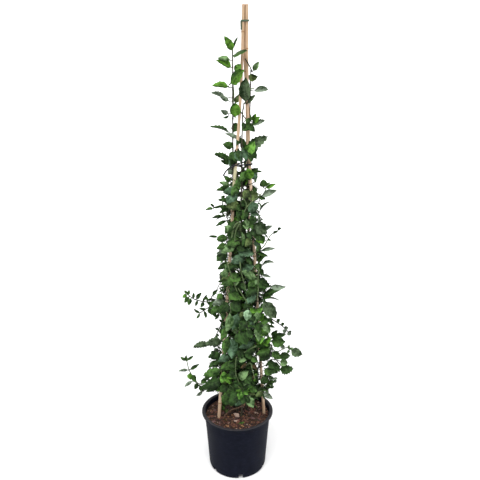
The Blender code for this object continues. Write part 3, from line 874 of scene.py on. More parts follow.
camera = {
    "place": Vector((0.00934, -1.8016, 1.4186)), "tilt": math.radians(72.551),
    "lens": 43.5, "sensor": 36.0, "middle": 240, "focal": 580,
}
ahead = Vector((0, math.sin(camera["tilt"]), -math.cos(camera["tilt"])))
upward = Vector((0, math.cos(camera["tilt"]), math.sin(camera["tilt"])))


def seenAt(point):
    # across and down in the view of 480 by 480
    offset = point - camera["place"]
    share = camera["focal"] / offset.dot(ahead)
    return camera["middle"] + offset.x * share, camera["middle"] - offset.dot(upward) * share


def fromView(across, down, depth):
    # the place at that depth (y) which is seen there
    offset = Vector((1, 0, 0)) * (across - camera["middle"]) + upward * (camera["middle"] - down)
    ray = ahead + offset / camera["focal"]
    return camera["place"] + ray * ((depth - camera["place"].y) / ray.y)


# ---- stems and boughs


stems = {
    "flare": 1.35, "flareRings": 5, "cutRise": 0.006, "spacing": 0.006, "sides": 10, "seed": 5,
    "swelling": 0.3, "swellingReach": 0.005,            # at each leaf pair
    "gap": 0.0003, "buried": 0.008,
    "firstLeaves": 0.262, "firstSpread": 0.02, "pairGap": (0.024, 0.034), "bareTip": 0.015,
    "relief": 0.0009, "reliefSize": 0.006,
    "each": {  # radii at foot and tip, then points whose height is above the compost's gap
        "left": (0.0045, 0.0019, ((0, 0.008, 0), (-0.004, 0.006, 0.35), (-0.012, 0.006, 1.0),
                                  (-0.0128, 0.001, 1.44))),
        "middle": (0.0042, 0.002, ((0.015, -0.02, 0), (0.012, -0.016, 0.5), (0.0155, -0.008, 1.176),
                                    (0.0214, -0.01, 1.29))),
        "right": (0.0042, 0.0018, ((0.032, 0.02, 0), (0.022, 0.016, 0.7), (0.0368, 0.0155, 1.15),
                                   (0.042, 0.008, 1.385))),
        "rear": (0.0038, 0.0014, ((-0.012, 0.036, 0), (-0.01, 0.04, 0.6), (0, 0.036, 1.06))),
        "arching": (0.0024, 0.0014, ((-0.044, -0.023, 0), (-0.02, -0.033, 0.236), (0.014, -0.038, 0.254),
                                     (0.034, -0.036, 0.285), (0.04, -0.03, 0.4))),
    },
}
boughs = {
    "footRadius": 0.0019, "tipRadius": 0.0011, "endInset": 0.3, "middleShare": 0.55, "spacing": 0.005,
    "each": {  # the stem it leaves and where, the middle and half sizes of its spray, its arch
        "left_high": ("left", 0.6, (-0.128, -0.02, 0.652), (0.054, 0.034, 0.03), 0.01),
        "left_mid": ("left", 0.41, (-0.108, -0.03, 0.462), (0.052, 0.04, 0.044), 0.006),
        "left_low": ("left", 0.3, (-0.15, -0.012, 0.37), (0.056, 0.042, 0.046), 0.012),
        "right_high": ("right", 0.64, (0.118, -0.012, 0.69), (0.044, 0.036, 0.042), 0.006),
        "right_mid": ("right", 0.4, (0.162, -0.03, 0.452), (0.06, 0.04, 0.042), 0.01),
        "right_low": ("right", 0.29, (0.14, -0.016, 0.345), (0.05, 0.042, 0.044), 0.01),
        "right_shoulder": ("right", 0.85, (0.104, -0.006, 0.88), (0.03, 0.026, 0.028), 0.004),
        "right_upper": ("right", 0.99, (0.094, -0.01, 1.028), (0.03, 0.024, 0.026), 0.004),
        "left_upper": ("left", 0.92, (-0.07, -0.012, 0.962), (0.027, 0.024, 0.026), 0.004),
        "front_low": ("middle", 0.29, (0.01, -0.128, 0.345), (0.05, 0.044, 0.044), 0.01),
        "front_high": ("middle", 0.52, (0.03, -0.112, 0.575), (0.044, 0.036, 0.04), 0.006),
        "rear_low": ("rear", 0.29, (-0.04, 0.134, 0.36), (0.052, 0.046, 0.046), 0.01),
        "rear_mid": ("rear", 0.43, (0.062, 0.138, 0.49), (0.05, 0.044, 0.044), 0.006),
        "rear_high": ("rear", 0.62, (-0.03, 0.112, 0.68), (0.044, 0.038, 0.04), 0.006),
    },
}
limbs = {}         # name: finish kind, path and radii
stemNodes = {}     # stem: the heights where its leaf pairs sit


def addLimb(name, kind, path, footRadius, tipRadius):
    limbs[name] = {"kind": kind, "path": path, "radii": taperedRadii(path, footRadius, tipRadius)}
    return limbs[name]


def growStems():
    dice = random.Random(stems["seed"])
    for name, (footRadius, tipRadius, points) in stems["each"].items():
        foot = Vector(points[0]) + up(soil["level"] + stems["gap"])
        rise = [foot, foot + up(stems["cutRise"])]
        limb = addLimb("stem_" + name, "woody", smoothPath(rise + [Vector(point) for point in points[1:]],
                                                           stems["spacing"]), footRadius, tipRadius)
        limb["path"].insert(0, foot - up(stems["buried"]))       # down into the compost
        limb["radii"].insert(0, footRadius * stems["flare"])
        heights, height = [], stems["firstLeaves"] + dice.uniform(0, stems["firstSpread"])
        while height < limb["path"][-1].z - stems["bareTip"]:
            heights.append(height)
            height += dice.uniform(*stems["pairGap"])
        stemNodes[name] = heights
        for index, place in enumerate(limb["path"]):
            nearest = min(abs(place.z - node) for node in heights) if heights else 1.0
            limb["radii"][index] *= 1 + stems["swelling"] * max(0.0, 1 - nearest / stems["swellingReach"])
            if 0 < index < stems["flareRings"]:
                limb["radii"][index] *= 1 + (stems["flare"] - 1) * (1 - index / stems["flareRings"])


def growBoughs():
    for name, (stem, height, centre, size, arch) in boughs["each"].items():
        start, _ = pointAtHeight(limbs["stem_" + stem]["path"], height)
        outwards = (Vector(centre).xy - start.xy).normalized().to_3d()
        end = Vector(centre) - outwards * size[0] * (1 - boughs["endInset"])
        middle = start.lerp(end, boughs["middleShare"]) + up(arch)
        path = smoothPath([start, middle, end], boughs["spacing"])
        addLimb("bough_" + name, "woody", path, boughs["footRadius"], boughs["tipRadius"])


def nearestOnLimbs(point, among):
    # the nearest point of the named limbs, and how far off it is
    best = (None, 1.0)
    for name in among:
        for start, end in zip(limbs[name]["path"], limbs[name]["path"][1:]):
            along = end - start
            share = min(1.0, max(0.0, (point - start).dot(along) / along.length_squared))
            place = start + along * share
            if (place - point).length < best[1]:
                best = (place, (place - point).length)
    return best


# ---- leaves


leafShapes = {
    # rows of faces, width, fullness towards base and tip, teeth, petiole; each variant's arch, gutter and twist
    "toothed": (13, 0.45, 0.55, 0.9, 0.058, 0.09, ((35, -40, 12), (20, 30, -15))),
    "broad": (9, 0.52, 0.6, 0.95, 0.034, 0.1, ((40, -45, 12), (22, 35, -18), (62, -30, 25))),
    "oval": (8, 0.42, 0.65, 1.00, 0.022, 0.1, ((38, -50, 15), (18, 30, -22), (60, -60, -10))),
    "long": (8, 0.3, 0.75, 1.1, 0.012, 0.1, ((35, -45, 20), (60, -60, -15))),
    "round": (7, 0.62, 0.5, 0.68, 0.000, 0.1, ((40, -40, 10), (25, 30, -12))),
    "young": (6, 0.27, 0.75, 0.95, 0.000, 0.06, ((20, -80, 10), (45, -55, -20))),
}
leafBuild = {"columns": 4, "thickness": 0.01, "wave": 0.05, "waveSize": 0.35}
leafTemplates = {}


def modelLeaf(name, rows, width, lowFull, highFull, teeth, petiole, arch, gutter, twist, seed):
    # a closed blade standing along z, one unit long, its upper side towards -y
    clearSelection()
    bpy.ops.mesh.primitive_grid_add(x_subdivisions=leafBuild["columns"], y_subdivisions=rows, size=1,
                                    location=(0, 0, 0.5), rotation=(math.pi / 2, 0, 0))
    leaf = bpy.context.object
    leaf.name = name
    applyPlace()
    editAll()
    bpy.ops.mesh.duplicate()                                   # the underside
    bpy.ops.mesh.flip_normals()
    bpy.ops.transform.translate(value=(0, 0.2, 0))
    pickPoints(leaf, lambda co: co.y > 0.1 and (abs(co.x) > 0.49 or co.z < 0.001 or co.z > 0.999))
    bpy.ops.transform.translate(value=(0, -0.2, 0))
    pickPoints(leaf, lambda co: co.y > 0.1)
    bpy.ops.transform.translate(value=(0, leafBuild["thickness"] - 0.2, 0))
    bpy.ops.mesh.select_all(action="SELECT")
    bpy.ops.mesh.remove_doubles(threshold=0.0001)
    peak = lowFull / (lowFull + highFull)
    full = peak ** lowFull * (1 - peak) ** highFull
    for row in range(rows + 1):
        height = row / rows
        if row < 2:
            target, share = petiole * row, 0.05 if row == 0 else 0.06
        else:
            blade = (row - 1) / (rows - 1)
            target = petiole + (1 - petiole) * blade
            share = width * blade ** lowFull * (1 - blade) ** highFull / full
            share = max(0.002, share + teeth * (1 if row % 2 else -1) * (share > 0.1))
        pickPoints(leaf, lambda co: abs(co.z - height) < 0.01)
        bpy.ops.transform.resize(value=(share, 1, 1), center_override=(0, 0, height))
        # rows already set wait above the rest
        bpy.ops.transform.translate(value=(0, 0, target - height + 2))
    bpy.ops.mesh.select_all(action="SELECT")
    bpy.ops.transform.translate(value=(0, 0, -2))
    pickPoints(leaf, lambda co: co.z > 0.999)                          # the tip closes in a point
    bpy.ops.mesh.merge(type="CENTER")
    leaveEditing()
    texture = bpy.data.textures.new(name + "Wave", "CLOUDS")
    texture.noise_scale = leafBuild["waveSize"]
    shift = bpy.data.objects.new("waveShift", None)
    shift.location = (seed * 3.7, seed * 1.9, 0)
    putInScene(shift)
    wave = leaf.modifiers.new("Wave", "DISPLACE")
    wave.texture = texture
    wave.texture_coords = "OBJECT"
    wave.texture_coords_object = shift
    wave.direction = "Y"
    wave.strength = leafBuild["wave"]
    wave.mid_level = 0.5
    for method, axis, angle in (("BEND", "Z", gutter), ("BEND", "X", arch), ("TWIST", "Z", twist)):
        turn = leaf.modifiers.new(method + axis, "SIMPLE_DEFORM")
        turn.deform_method = method
        turn.deform_axis = axis
        turn.angle = math.radians(angle)
    tipIndex = max(range(len(leaf.data.vertices)), key=lambda index: leaf.data.vertices[index].co.z)
    footIndex = min(range(len(leaf.data.vertices)), key=lambda index: leaf.data.vertices[index].co.z)
    applyModifiers(leaf)
    bpy.data.objects.remove(shift)
    foot, tip = leaf.data.vertices[footIndex].co.copy(), leaf.data.vertices[tipIndex].co.copy()
    turn = (tip - foot).rotation_difference(up(1)).to_matrix().to_4x4()
    leaf.matrix_world = Matrix.Scale(1 / (tip - foot).length, 4) @ turn @ Matrix.Translation(-foot)
    applyPlace()
    shadeRound(leaf, 50)
    giveMaterials(leaf, None, None)
    for polygon in leaf.data.polygons:                          # the underside's faces come second
        polygon.material_index = 1 if polygon.index >= len(leaf.data.polygons) // 2 else 0
    return leaf


# ---- where leaves may grow


openings = {
    # heights in the view between which a cane shows: no leaf hangs before it there
    "canes": {
        "left": ((20, 98), (130, 153), (166, 186), (210, 222), (250, 262), (290, 303), (338, 353), (400, 417)),
        "right": ((20, 98), (117, 130), (151, 195), (235, 250), (255, 270), (297, 309), (358, 385), (402, 414)),
    },
    "caneSpace": 2.6,
    # gaps that show the wall behind: across, down and half size
    "gaps": ((241.5, 170, 2), (231, 144.5, 2), (240.5, 190, 1.5), (240.5, 199.5, 1.5), (245.6, 229, 1.5),
             (250.7, 230.7, 1.2), (243, 248, 1.5), (232, 259.4, 1.5), (251.6, 258.8, 2), (238, 271.9, 1.5),
             (260.9, 245.4, 1.5), (261.5, 255, 1.5), (225, 242.5, 1.5)),
    # the dense growth's left and right edges, down the view
    "edges": ((100, 232, 252), (120, 231, 254), (140, 230, 256), (160, 229, 256), (180, 229, 257),
              (190, 224, 259), (200, 221, 258), (210, 220, 262), (220, 228, 263), (230, 225, 267),
              (240, 218, 268), (250, 219, 262), (260, 218, 262), (270, 220, 263), (280, 221, 263),
              (290, 220, 268), (300, 217, 268), (310, 214, 270), (320, 222, 272), (330, 220, 271),
              (340, 214, 272), (350, 214, 276), (360, 212, 284), (370, 208, 282), (380, 204, 278),
              (390, 205, 272), (397, 222, 270), (400, 224, 262), (404, 226, 244)),
    "edgeSpace": 1.5, "lowest": 404.5,
}


def edgesAt(down):
    return (between([(row[0], row[1]) for row in openings["edges"]], down),
            between([(row[0], row[2]) for row in openings["edges"]], down))


def leafSamples(shape, base, tip, side):
    # points over a leaf: along its middle and at both edges
    width = leafShapes[shape][1] * (tip - base).length * 0.46
    samples = []
    for share, wide in ((0.15, 0.3), (0.35, 0.9), (0.55, 1.0), (0.75, 0.75), (0.95, 0.2)):
        middle = base.lerp(tip, share)
        samples += [middle + side * width * wide * step for step in (-1, -0.5, 0, 0.5, 1)]
    return samples


def hidesAnOpening(samples):
    seen = [(*seenAt(sample), sample) for sample in samples]
    for across, down, sample in seen:
        for gapAcross, gapDown, size in openings["gaps"]:
            if abs(across - gapAcross) < size and abs(down - gapDown) < size:
                return True
        for name, stretches in openings["canes"].items():
            if not any(top <= down <= bottom for top, bottom in stretches):
                continue
            cane = caneCentre(name, sample.z)
            caneAcross, _ = seenAt(cane)
            if abs(across - caneAcross) < openings["caneSpace"] and sample.y < cane.y:
                return True
    return False


def outsideTheEdges(samples):
    for sample in samples:
        across, down = seenAt(sample)
        left, right = edgesAt(down)
        if across < left - openings["edgeSpace"] or across > right + openings["edgeSpace"] \
                or down > openings["lowest"]:
            return True
    return False


# ---- hanging leaves


leaves = []        # shape, tint and place of each
front = Vector((0, -1, 0))


def leafFrame(base, tip, facing):
    # the leaf's place: x across it, y against its upper side, z along it
    along = (tip - base).normalized()
    upper = facing - along * facing.dot(along)
    if upper.length < 0.05:
        upper = front - along * front.dot(along)
    upper.normalize()
    side = (-upper).cross(along)
    return Matrix((side, -upper, along)).transposed(), side


def hangLeaf(shape, tint, base, tip, facing, thin=1.0, variant=None):
    turned, _ = leafFrame(base, tip, facing)
    length = (tip - base).length
    place = Matrix.Translation(base) @ (turned @ Matrix.Diagonal((length * thin, length, length))).to_4x4()
    if variant is None:
        variant = int(abs(base.x * 7919 + base.z * 104729) * 10) % len(leafShapes[shape][6])
    leaves.append((shape, variant, tint, place))


seenLeaves = {
    # depth of the base and how much nearer the tip is, then base and tip across and down the view, width,
    # shape and tint
    (-0.012, -0.004): (
        (224.5, 411, 221.8, 405.5, 3, "oval mid"), (225.5, 408, 222.2, 401.5, 3.2, "oval dark"),
        (226, 404, 229, 398.5, 3.2, "oval mid"), (224.8, 413, 228.5, 409.5, 2.6, "young olive"),
        (226.5, 400.5, 223, 395.5, 3.4, "oval dark"),
    ),
    (0.002, -0.012): (
        (232.6, 52, 224.6, 36.8, 6.4, "oval fresh"), (232.2, 68.8, 216.4, 60.6, 6.6, "broad fresh"),
        (230, 87.6, 212.2, 86.2, 6, "broad fresh"), (230.6, 60.4, 218, 58.4, 4.4, "oval sage"),
        (226, 98.5, 211, 93, 4.6, "toothed grey"), (229.5, 101.5, 220, 96, 4, "oval grey"),
        (228.5, 114, 221, 110, 4.4, "oval grey"), (228.8, 116, 223, 117.8, 2, "young dark"),
        (231, 133.5, 209.7, 127.2, 4.2, "toothed dark"), (233.4, 147.6, 223, 144.2, 7, "broad mid"),
        (230.5, 161.5, 214, 154.2, 6.2, "toothed dark"), (231, 163, 221, 160.5, 4.6, "oval dark"),
        (231, 168, 228.5, 174.5, 4.4, "oval grey"), (231.5, 182.5, 224, 175.8, 3.8, "oval mid"),
        (231.5, 186, 219.6, 182.2, 3.8, "oval sage"), (240, 140.5, 225.2, 133.8, 3, "long grey"),
        (231.5, 190.5, 216.5, 190.4, 5, "oval mid"), (230.5, 188, 221, 186.6, 4, "oval dark"),
    ),
    (0.002, 0.012): (
        (233, 49, 237.6, 37.2, 1.8, "young dark"), (243.5, 151, 243.5, 139, 5.5, "oval dark"),
        (234.2, 104, 240, 94.2, 4.8, "oval olive"), (232.8, 133, 236, 122.5, 6.4, "broad dark"),
        (243, 180, 243.5, 167.5, 5, "oval dark"),
    ),
    (-0.018, 0.008): (
        (236.5, 153, 230, 167, 8, "broad blue"), (233, 156, 233.5, 166, 6, "oval dark"),
    ),
    (-0.004, -0.044): (
        (232.2, 56, 247, 51.2, 5.4, "broad mid"), (229.4, 84.2, 243.8, 70.6, 10.6, "broad fresh"),
    ),
    (-0.018, -0.01): (
        (235.2, 118, 235.4, 103.4, 9.6, "round fresh"), (236, 151.5, 229, 159.5, 7, "broad dark"),
        (239, 149, 242, 162, 8, "broad blue"), (238, 149, 240, 160, 6, "oval dark"),
        (243, 147, 246.5, 161, 6, "oval blue"), (235, 150, 236, 162, 7.4, "broad dark"),
        (252, 123, 243.3, 130.8, 5.8, "oval mid"), (249.5, 124, 254.8, 131.4, 5.4, "oval dark"),
        (244, 122, 242.8, 129.5, 4, "oval dark"), (249.5, 118, 246, 124, 4, "oval mid"),
        (238, 183, 233, 190, 4.6, "oval mid"),
    ),
    (0.002, -0.026): (
        (234.2, 72, 241, 64.4, 6.4, "broad lime"), (241, 136, 236.5, 145, 5, "oval dark"),
    ),
    (-0.01, -0.014): (
        (245, 103.4, 246, 78.4, 9.4, "broad dusk"), (246.8, 104, 255.2, 95.2, 3.2, "oval dusk"),
        (245.5, 149, 267.4, 136.8, 10.4, "toothed dusk"), (244, 155, 254, 141.5, 9.4, "broad lime"),
        (249.5, 146, 256.5, 158.5, 7.4, "broad dark"), (249, 152, 251.5, 161.5, 6, "oval dark"),
        (250, 180, 247, 169, 8.6, "round fresh"), (246.5, 171, 240.5, 181.5, 7, "broad mid"),
    ),
    (0.01, -0.012): (
        (252.4, 71.6, 258.8, 62, 4.8, "oval sage"), (247.8, 76, 257.6, 76.4, 6.4, "broad olive"),
        (253.2, 90.8, 267.6, 89.8, 4.4, "round grey"), (251, 121.5, 250, 113.2, 3.2, "young mid"),
        (252.3, 122, 255.9, 114, 4.6, "oval fresh"), (253, 123, 259.8, 116.8, 4, "oval fresh"),
        (252, 125, 264.8, 120.4, 4.2, "toothed grey"), (251.6, 124.5, 258.5, 121.5, 4.4, "oval mid"),
        (250.5, 171, 258.3, 168.4, 4.4, "oval dark"), (250.8, 168.5, 256, 180.4, 7.6, "broad mist"),
        (255, 172, 262, 171.8, 2, "young dark"), (251, 187, 257, 191.2, 5, "oval dark"),
        (253.5, 150, 258, 147, 5, "oval dark"),
    ),
    (-0.014, -0.016): (
        (263.2, 187.8, 263, 179.6, 7, "round mid"), (265, 188.2, 275.6, 184.2, 4.2, "oval fresh"),
        (266, 185.5, 269.8, 182.4, 2.8, "young sage"), (260.5, 196.2, 276.2, 190.6, 5.4, "oval grey"),
        (258.8, 196.6, 265.3, 199.2, 3.8, "oval dark"), (258.8, 213.2, 270.2, 202.4, 2.6, "long grey"),
        (258.6, 214.5, 258.8, 222.5, 2.2, "young grey"), (261.5, 227.4, 265.8, 224.6, 3.4, "round dark"),
        (263, 230.6, 272.2, 226, 3, "oval grey"), (273.6, 233.6, 276.6, 231, 2.2, "young dark"),
        (277.8, 230, 281.4, 228.2, 2.6, "young dark"), (274.8, 232.6, 278, 231.8, 2, "young dark"),
        (267.6, 239.4, 271.2, 240.2, 1.8, "young mid"), (260, 250.6, 274.6, 248.4, 3, "long grey"),
        (258, 252.2, 266.8, 254.8, 3.4, "long mid"), (256.5, 254.8, 268.2, 256.4, 1.8, "young dark"),
        (257.5, 264.5, 266.8, 255.6, 4.4, "oval mid"), (261.5, 265, 273.8, 262.8, 3.4, "oval grey"),
        (261, 274.2, 271, 277.2, 2.2, "long grey"), (259, 269, 263.4, 274.5, 4.4, "oval dark"),
    ),
    (-0.019, -0.011): (
        (213.6, 208.6, 205.8, 210, 2.8, "oval mid"), (214.2, 207.2, 210.2, 203.6, 2.2, "young dark"),
        (222, 205.6, 213.2, 207.6, 2.2, "young dark"), (222.5, 215.4, 212, 218.2, 2.4, "long dark"),
        (227.5, 215, 215.8, 220.8, 2.2, "long dark"), (228, 220.4, 216, 226.4, 2.6, "long dark"),
        (218, 237.2, 208.8, 236.2, 2.4, "young dark"), (231, 222, 227.6, 224.6, 3, "oval dark"),
        (224, 279, 218, 281.6, 2.6, "young dark"), (226, 287.4, 220.2, 287.6, 2.2, "young dark"),
        (226, 289, 219.2, 292, 2.2, "young dark"), (219, 313, 214.8, 319.4, 2.6, "young dark"),
        (225, 196, 220.6, 196.8, 2.6, "young dark"), (231, 229, 225, 233.5, 4, "oval mid"),
    ),
    (-0.034, -0.014): (
        (238, 177, 239.8, 189, 4.4, "long mid"), (237.5, 189, 223.5, 192.6, 7.6, "broad blue"),
        (240, 187.5, 232, 196, 6.6, "broad mid"), (239.5, 194, 227, 203.5, 8.6, "broad mist"),
        (232.5, 204, 218.2, 200.2, 4.8, "oval dark"), (240.5, 206, 226.5, 206.8, 8.8, "broad olive"),
        (229, 208, 220.6, 207.4, 5.2, "round dark"), (230, 210, 219.6, 213.2, 3.4, "oval dark"),
        (238, 197, 226, 197.4, 4, "oval blue"), (249.5, 190, 244, 198.5, 6.4, "oval olive"),
        (247, 193, 258.6, 196.8, 8.6, "broad olive"), (246.5, 199, 242, 206.5, 5, "oval dark"),
        (259, 203.4, 248.6, 211.6, 8.4, "broad blue"), (248, 209.5, 242.5, 219.4, 7.6, "broad mid"),
        (239.5, 208, 238, 218, 5.2, "oval dark"), (249.5, 211.5, 258, 215, 5.6, "oval blue"),
        (247, 218.5, 247.4, 229.5, 6.6, "oval sage"), (250.5, 220.5, 253.5, 229, 5.6, "oval mid"),
        (253.5, 214.5, 250, 221, 4.6, "oval dark"), (242, 217, 236.4, 221.6, 4.4, "oval mid"),
        (253.6, 223.6, 267, 233, 9.6, "broad dusk"), (254.5, 231.5, 262, 240.5, 7.8, "broad dark"),
        (261.5, 234, 263.4, 243.8, 8.4, "broad fresh"), (254.5, 240, 261, 247, 5, "oval blue"),
        (241, 229, 243.5, 221, 5, "oval dark"), (236, 203, 240.5, 210.5, 5, "oval mid"),
    ),
    (-0.046, -0.016): (
        (231, 233.4, 225.4, 226, 7, "round sage"), (228, 237, 217, 239.4, 7, "round mid"),
        (241.6, 241.2, 241.4, 232.4, 4.2, "oval sage"), (241, 239.6, 228.5, 245.4, 7.4, "broad mid"),
        (236.5, 247, 220.8, 249.4, 7.4, "broad sage"), (226, 243.5, 217, 248.6, 5.6, "oval mid"),
        (228.5, 249.8, 221.5, 252.6, 5.4, "broad sage"), (227, 251, 216.6, 253.4, 4.4, "oval grey"),
        (227.5, 254.8, 217, 261, 9, "broad dark"), (228.5, 262.4, 218, 269, 5.6, "oval dark"),
        (225.6, 263, 225.6, 268.8, 2.6, "young sage"), (237, 250.6, 253.6, 254, 7, "toothed blue"),
        (245.5, 258, 231.4, 262.6, 8.6, "broad blue"), (246.5, 256.6, 252, 264, 5, "oval dark"),
        (246, 264.4, 231.8, 267, 4.6, "oval dark"), (240.5, 268.6, 253.8, 265.6, 7.2, "broad blue"),
        (236, 245.6, 245, 250.4, 6, "broad dark"), (233, 238, 229, 231, 4.6, "oval mid"),
        (251, 237.4, 245.6, 246.4, 6, "oval olive"), (248, 230.8, 250.6, 239, 6, "oval dark"),
        (259, 262, 260.6, 270.8, 6.4, "broad mid"), (259.5, 245, 256.8, 251.6, 4.6, "oval dark"),
        (246.5, 238, 242.5, 246, 5, "oval dark"), (236, 229.5, 239.5, 237.5, 4.6, "oval dark"),
        (236, 221, 230, 232, 6, "oval dark"), (234, 231, 229.5, 241, 6, "oval dark"),
        (237, 240, 228, 247.6, 7, "broad mid"), (233, 262, 227.5, 271.6, 5.6, "oval dark"),
        (252, 228, 254.5, 236, 5.6, "oval dark"), (256, 217, 252, 224, 5, "oval dark"),
    ),
    (-0.056, -0.014): (
        (229.6, 271.6, 220.8, 274.6, 7, "broad sage"), (231, 272, 241, 280, 8.6, "broad mid"),
        (230, 277, 221.4, 279.4, 4.6, "oval olive"), (235.5, 281.6, 221.4, 285, 8.8, "broad mid"),
        (257.4, 278.8, 242.4, 271.6, 6.2, "broad sage"), (256.6, 279.4, 255.4, 284.4, 4, "young sage"),
        (258, 277, 269.8, 286.6, 8.8, "broad dark"), (257.5, 282, 248.6, 287, 7, "broad mid"),
        (234, 285.6, 239, 282, 3, "young sage"), (236.6, 286, 230.6, 292, 5, "oval dark"),
        (258.6, 288.6, 246.8, 297, 8.6, "broad dark"), (257, 295, 245.4, 303, 6.8, "broad mist"),
        (229.6, 288.8, 240.2, 298.6, 8.8, "broad mid"), (243.6, 298.4, 229.6, 299.6, 4.4, "long fresh"),
        (231, 301, 240, 311, 10, "broad dark"), (241.6, 282.6, 245.6, 290.6, 4.6, "oval dark"),
        (223, 295, 217, 298.6, 5.4, "round mid"), (225, 300.4, 212.6, 304.6, 5.6, "toothed grey"),
        (229.8, 302.6, 220.4, 312.6, 10, "broad dark"), (222, 306.4, 211.6, 314.6, 6.8, "broad mid"),
        (226, 311, 222.6, 320, 5, "oval dark"), (251, 304, 244, 308, 5, "oval dark"),
    ),
    (-0.03, -0.01): (
        (269, 286, 285.4, 286.6, 5.2, "long grey"), (262, 294.4, 281.4, 288.6, 4.4, "long dark"),
        (260.8, 297.6, 273.4, 294, 5.4, "toothed mid"), (261.2, 299.6, 279.4, 301.4, 2.2, "long dark"),
        (262.6, 299.6, 275.6, 317.4, 9.4, "broad dusk"), (261.8, 302.6, 265.4, 310.4, 5, "oval dark"),
        (268.6, 319.6, 274.4, 323.8, 2.6, "young dark"), (268.8, 325, 274.8, 327.2, 2.4, "young dark"),
        (276.8, 322, 279.8, 319.2, 3, "round dark"), (281.2, 325, 284.2, 323.2, 2.6, "round dark"),
        (284, 328.4, 288.2, 327.4, 3.4, "round grey"), (285, 328.8, 284.4, 333.2, 3.4, "round grey"),
        (287.6, 331.8, 290.8, 334.8, 3.8, "round grey"), (289.4, 333, 291.6, 331, 2.2, "young dark"),
    ),
    (-0.022, -0.008): (
        (187, 294, 184.3, 290.6, 2.4, "young mid"), (188, 295, 189, 290, 2.6, "young mid"),
        (187.6, 294.8, 182.6, 297.6, 3.2, "oval fresh"), (189.5, 296.4, 184.6, 302.4, 4.4, "oval mid"),
        (191.5, 298, 188.6, 305, 4, "oval mid"), (193, 298.6, 193.6, 292.8, 2.6, "young dark"),
        (195.8, 299.3, 201.4, 292.8, 3.2, "oval dark"), (198, 300.3, 195.6, 306, 2.6, "young dark"),
        (202.5, 301.4, 206.8, 294.8, 2.4, "young dark"), (204, 301.6, 200.8, 307, 3.2, "oval dark"),
        (208, 302, 206, 296.4, 2.2, "young mid"), (212, 296, 217.8, 289.8, 2.6, "oval dark"),
        (211.8, 298.5, 207.4, 299.8, 2.2, "young dark"), (209, 307, 211.8, 314.2, 4, "oval dark"),
        (206, 309, 199.2, 308, 2.2, "young dark"), (204, 310.5, 205.8, 318, 2.6, "young dark"),
        (200, 313, 194, 308.8, 2.2, "young dark"), (200, 313, 196.4, 318.4, 2, "young dark"),
        (213, 304.5, 207, 302, 3.6, "oval dark"), (212, 306, 216, 317, 4.6, "oval dark"),
        (215, 301, 209.6, 308.4, 4.4, "oval mid"), (222.4, 322.6, 219.2, 319.6, 2.2, "young dark"),
        (220.4, 326.6, 224, 328.4, 2, "young dark"), (218.6, 330, 215.2, 328.4, 2, "young dark"),
        (216.6, 333.8, 219.2, 336.2, 2, "young dark"),
    ),
    (-0.065, -0.016): (
        (230.6, 312.4, 226.4, 330.6, 7.4, "long sage"), (226.6, 325.6, 220.8, 339.6, 6, "long mid"),
        (248.4, 308.4, 246.8, 320.8, 7.4, "broad pale"), (243.4, 311.6, 240.6, 318.4, 3.4, "oval olive"),
        (250, 308.4, 257, 311.6, 4.6, "oval fresh"), (256.6, 311.4, 262.2, 308, 4, "oval lime"),
        (262.4, 310.6, 254.6, 323, 6.6, "broad sage"), (252.6, 319.4, 249, 329, 6.4, "oval blue"),
        (258.6, 321, 264, 313.4, 4.4, "oval fresh"), (261.6, 316.6, 269.4, 321.4, 7, "broad mid"),
        (264.4, 322.4, 269.8, 332.4, 6.8, "broad sage"), (238.6, 312.6, 232.8, 329.6, 9, "broad blue"),
        (231.6, 318, 237.6, 329, 6, "oval dark"), (246.6, 321.6, 241.6, 330.6, 7, "broad dark"),
        (255.8, 325.4, 258.8, 341, 7, "long sage"), (267.4, 324.6, 262.2, 336.4, 6.4, "oval fresh"),
        (229.6, 336, 225.2, 354, 7.4, "long mid"), (232.4, 336.4, 232.2, 358, 9.6, "broad mist"),
        (240.4, 329.6, 246.6, 344.2, 11, "broad dark"), (255.6, 342.6, 239.6, 347.8, 5.6, "oval blue"),
        (236.4, 333, 240.6, 343, 6, "oval dark"), (252.6, 314.6, 254.4, 320.8, 5, "oval dark"),
        (247.8, 329, 252.6, 337.6, 6, "oval dark"), (270, 331, 262.4, 333.6, 5, "oval mid"),
    ),
    (-0.07, -0.014): (
        (264.4, 343.4, 255.6, 339.4, 5, "broad fresh"), (257, 343.4, 264.6, 337.6, 4.6, "oval lime"),
        (264.6, 343, 271.6, 337.8, 5, "broad fresh"), (263.6, 342.6, 268, 347, 4.2, "oval fresh"),
        (272.4, 345.6, 256.6, 347.8, 6, "broad dark"), (271.6, 350, 257, 354.6, 6.8, "broad mid"),
        (256.6, 347, 246, 352.8, 5.6, "oval dark"), (270.6, 352.8, 260.6, 360.6, 8.6, "broad dark"),
        (230.4, 357.8, 218.8, 361.4, 7, "broad blue"), (236.6, 364.6, 220.8, 369, 7.6, "broad mid"),
        (237.6, 358.6, 246, 360, 5.6, "broad sage"), (246.6, 350, 251, 358.8, 7, "broad dark"),
        (237, 349, 243.6, 356.4, 7, "broad dark"), (251.6, 356, 257.6, 361.6, 5.4, "oval mid"),
        (222.4, 369.6, 203.6, 375.6, 8, "toothed mid"), (222.4, 380.4, 202.6, 388.6, 9, "toothed dark"),
        (220.6, 384, 206.6, 391.4, 5, "oval dark"), (209.6, 375.6, 203.4, 380.4, 3.6, "oval dark"),
        (227, 373.6, 220.8, 375.6, 4.6, "oval lime"), (226.4, 374, 232.6, 378.2, 5.4, "broad fresh"),
        (225.2, 375, 221.8, 382.8, 5.4, "oval lime"), (225, 376, 230.6, 383.6, 5.4, "oval fresh"),
        (238.2, 378.6, 247.8, 371, 7, "broad sage"), (239.6, 386, 249.6, 382.8, 6.6, "broad sage"),
        (236, 369.6, 229.4, 375.4, 5, "oval dark"), (228, 362.4, 234.4, 367, 5, "oval dark"),
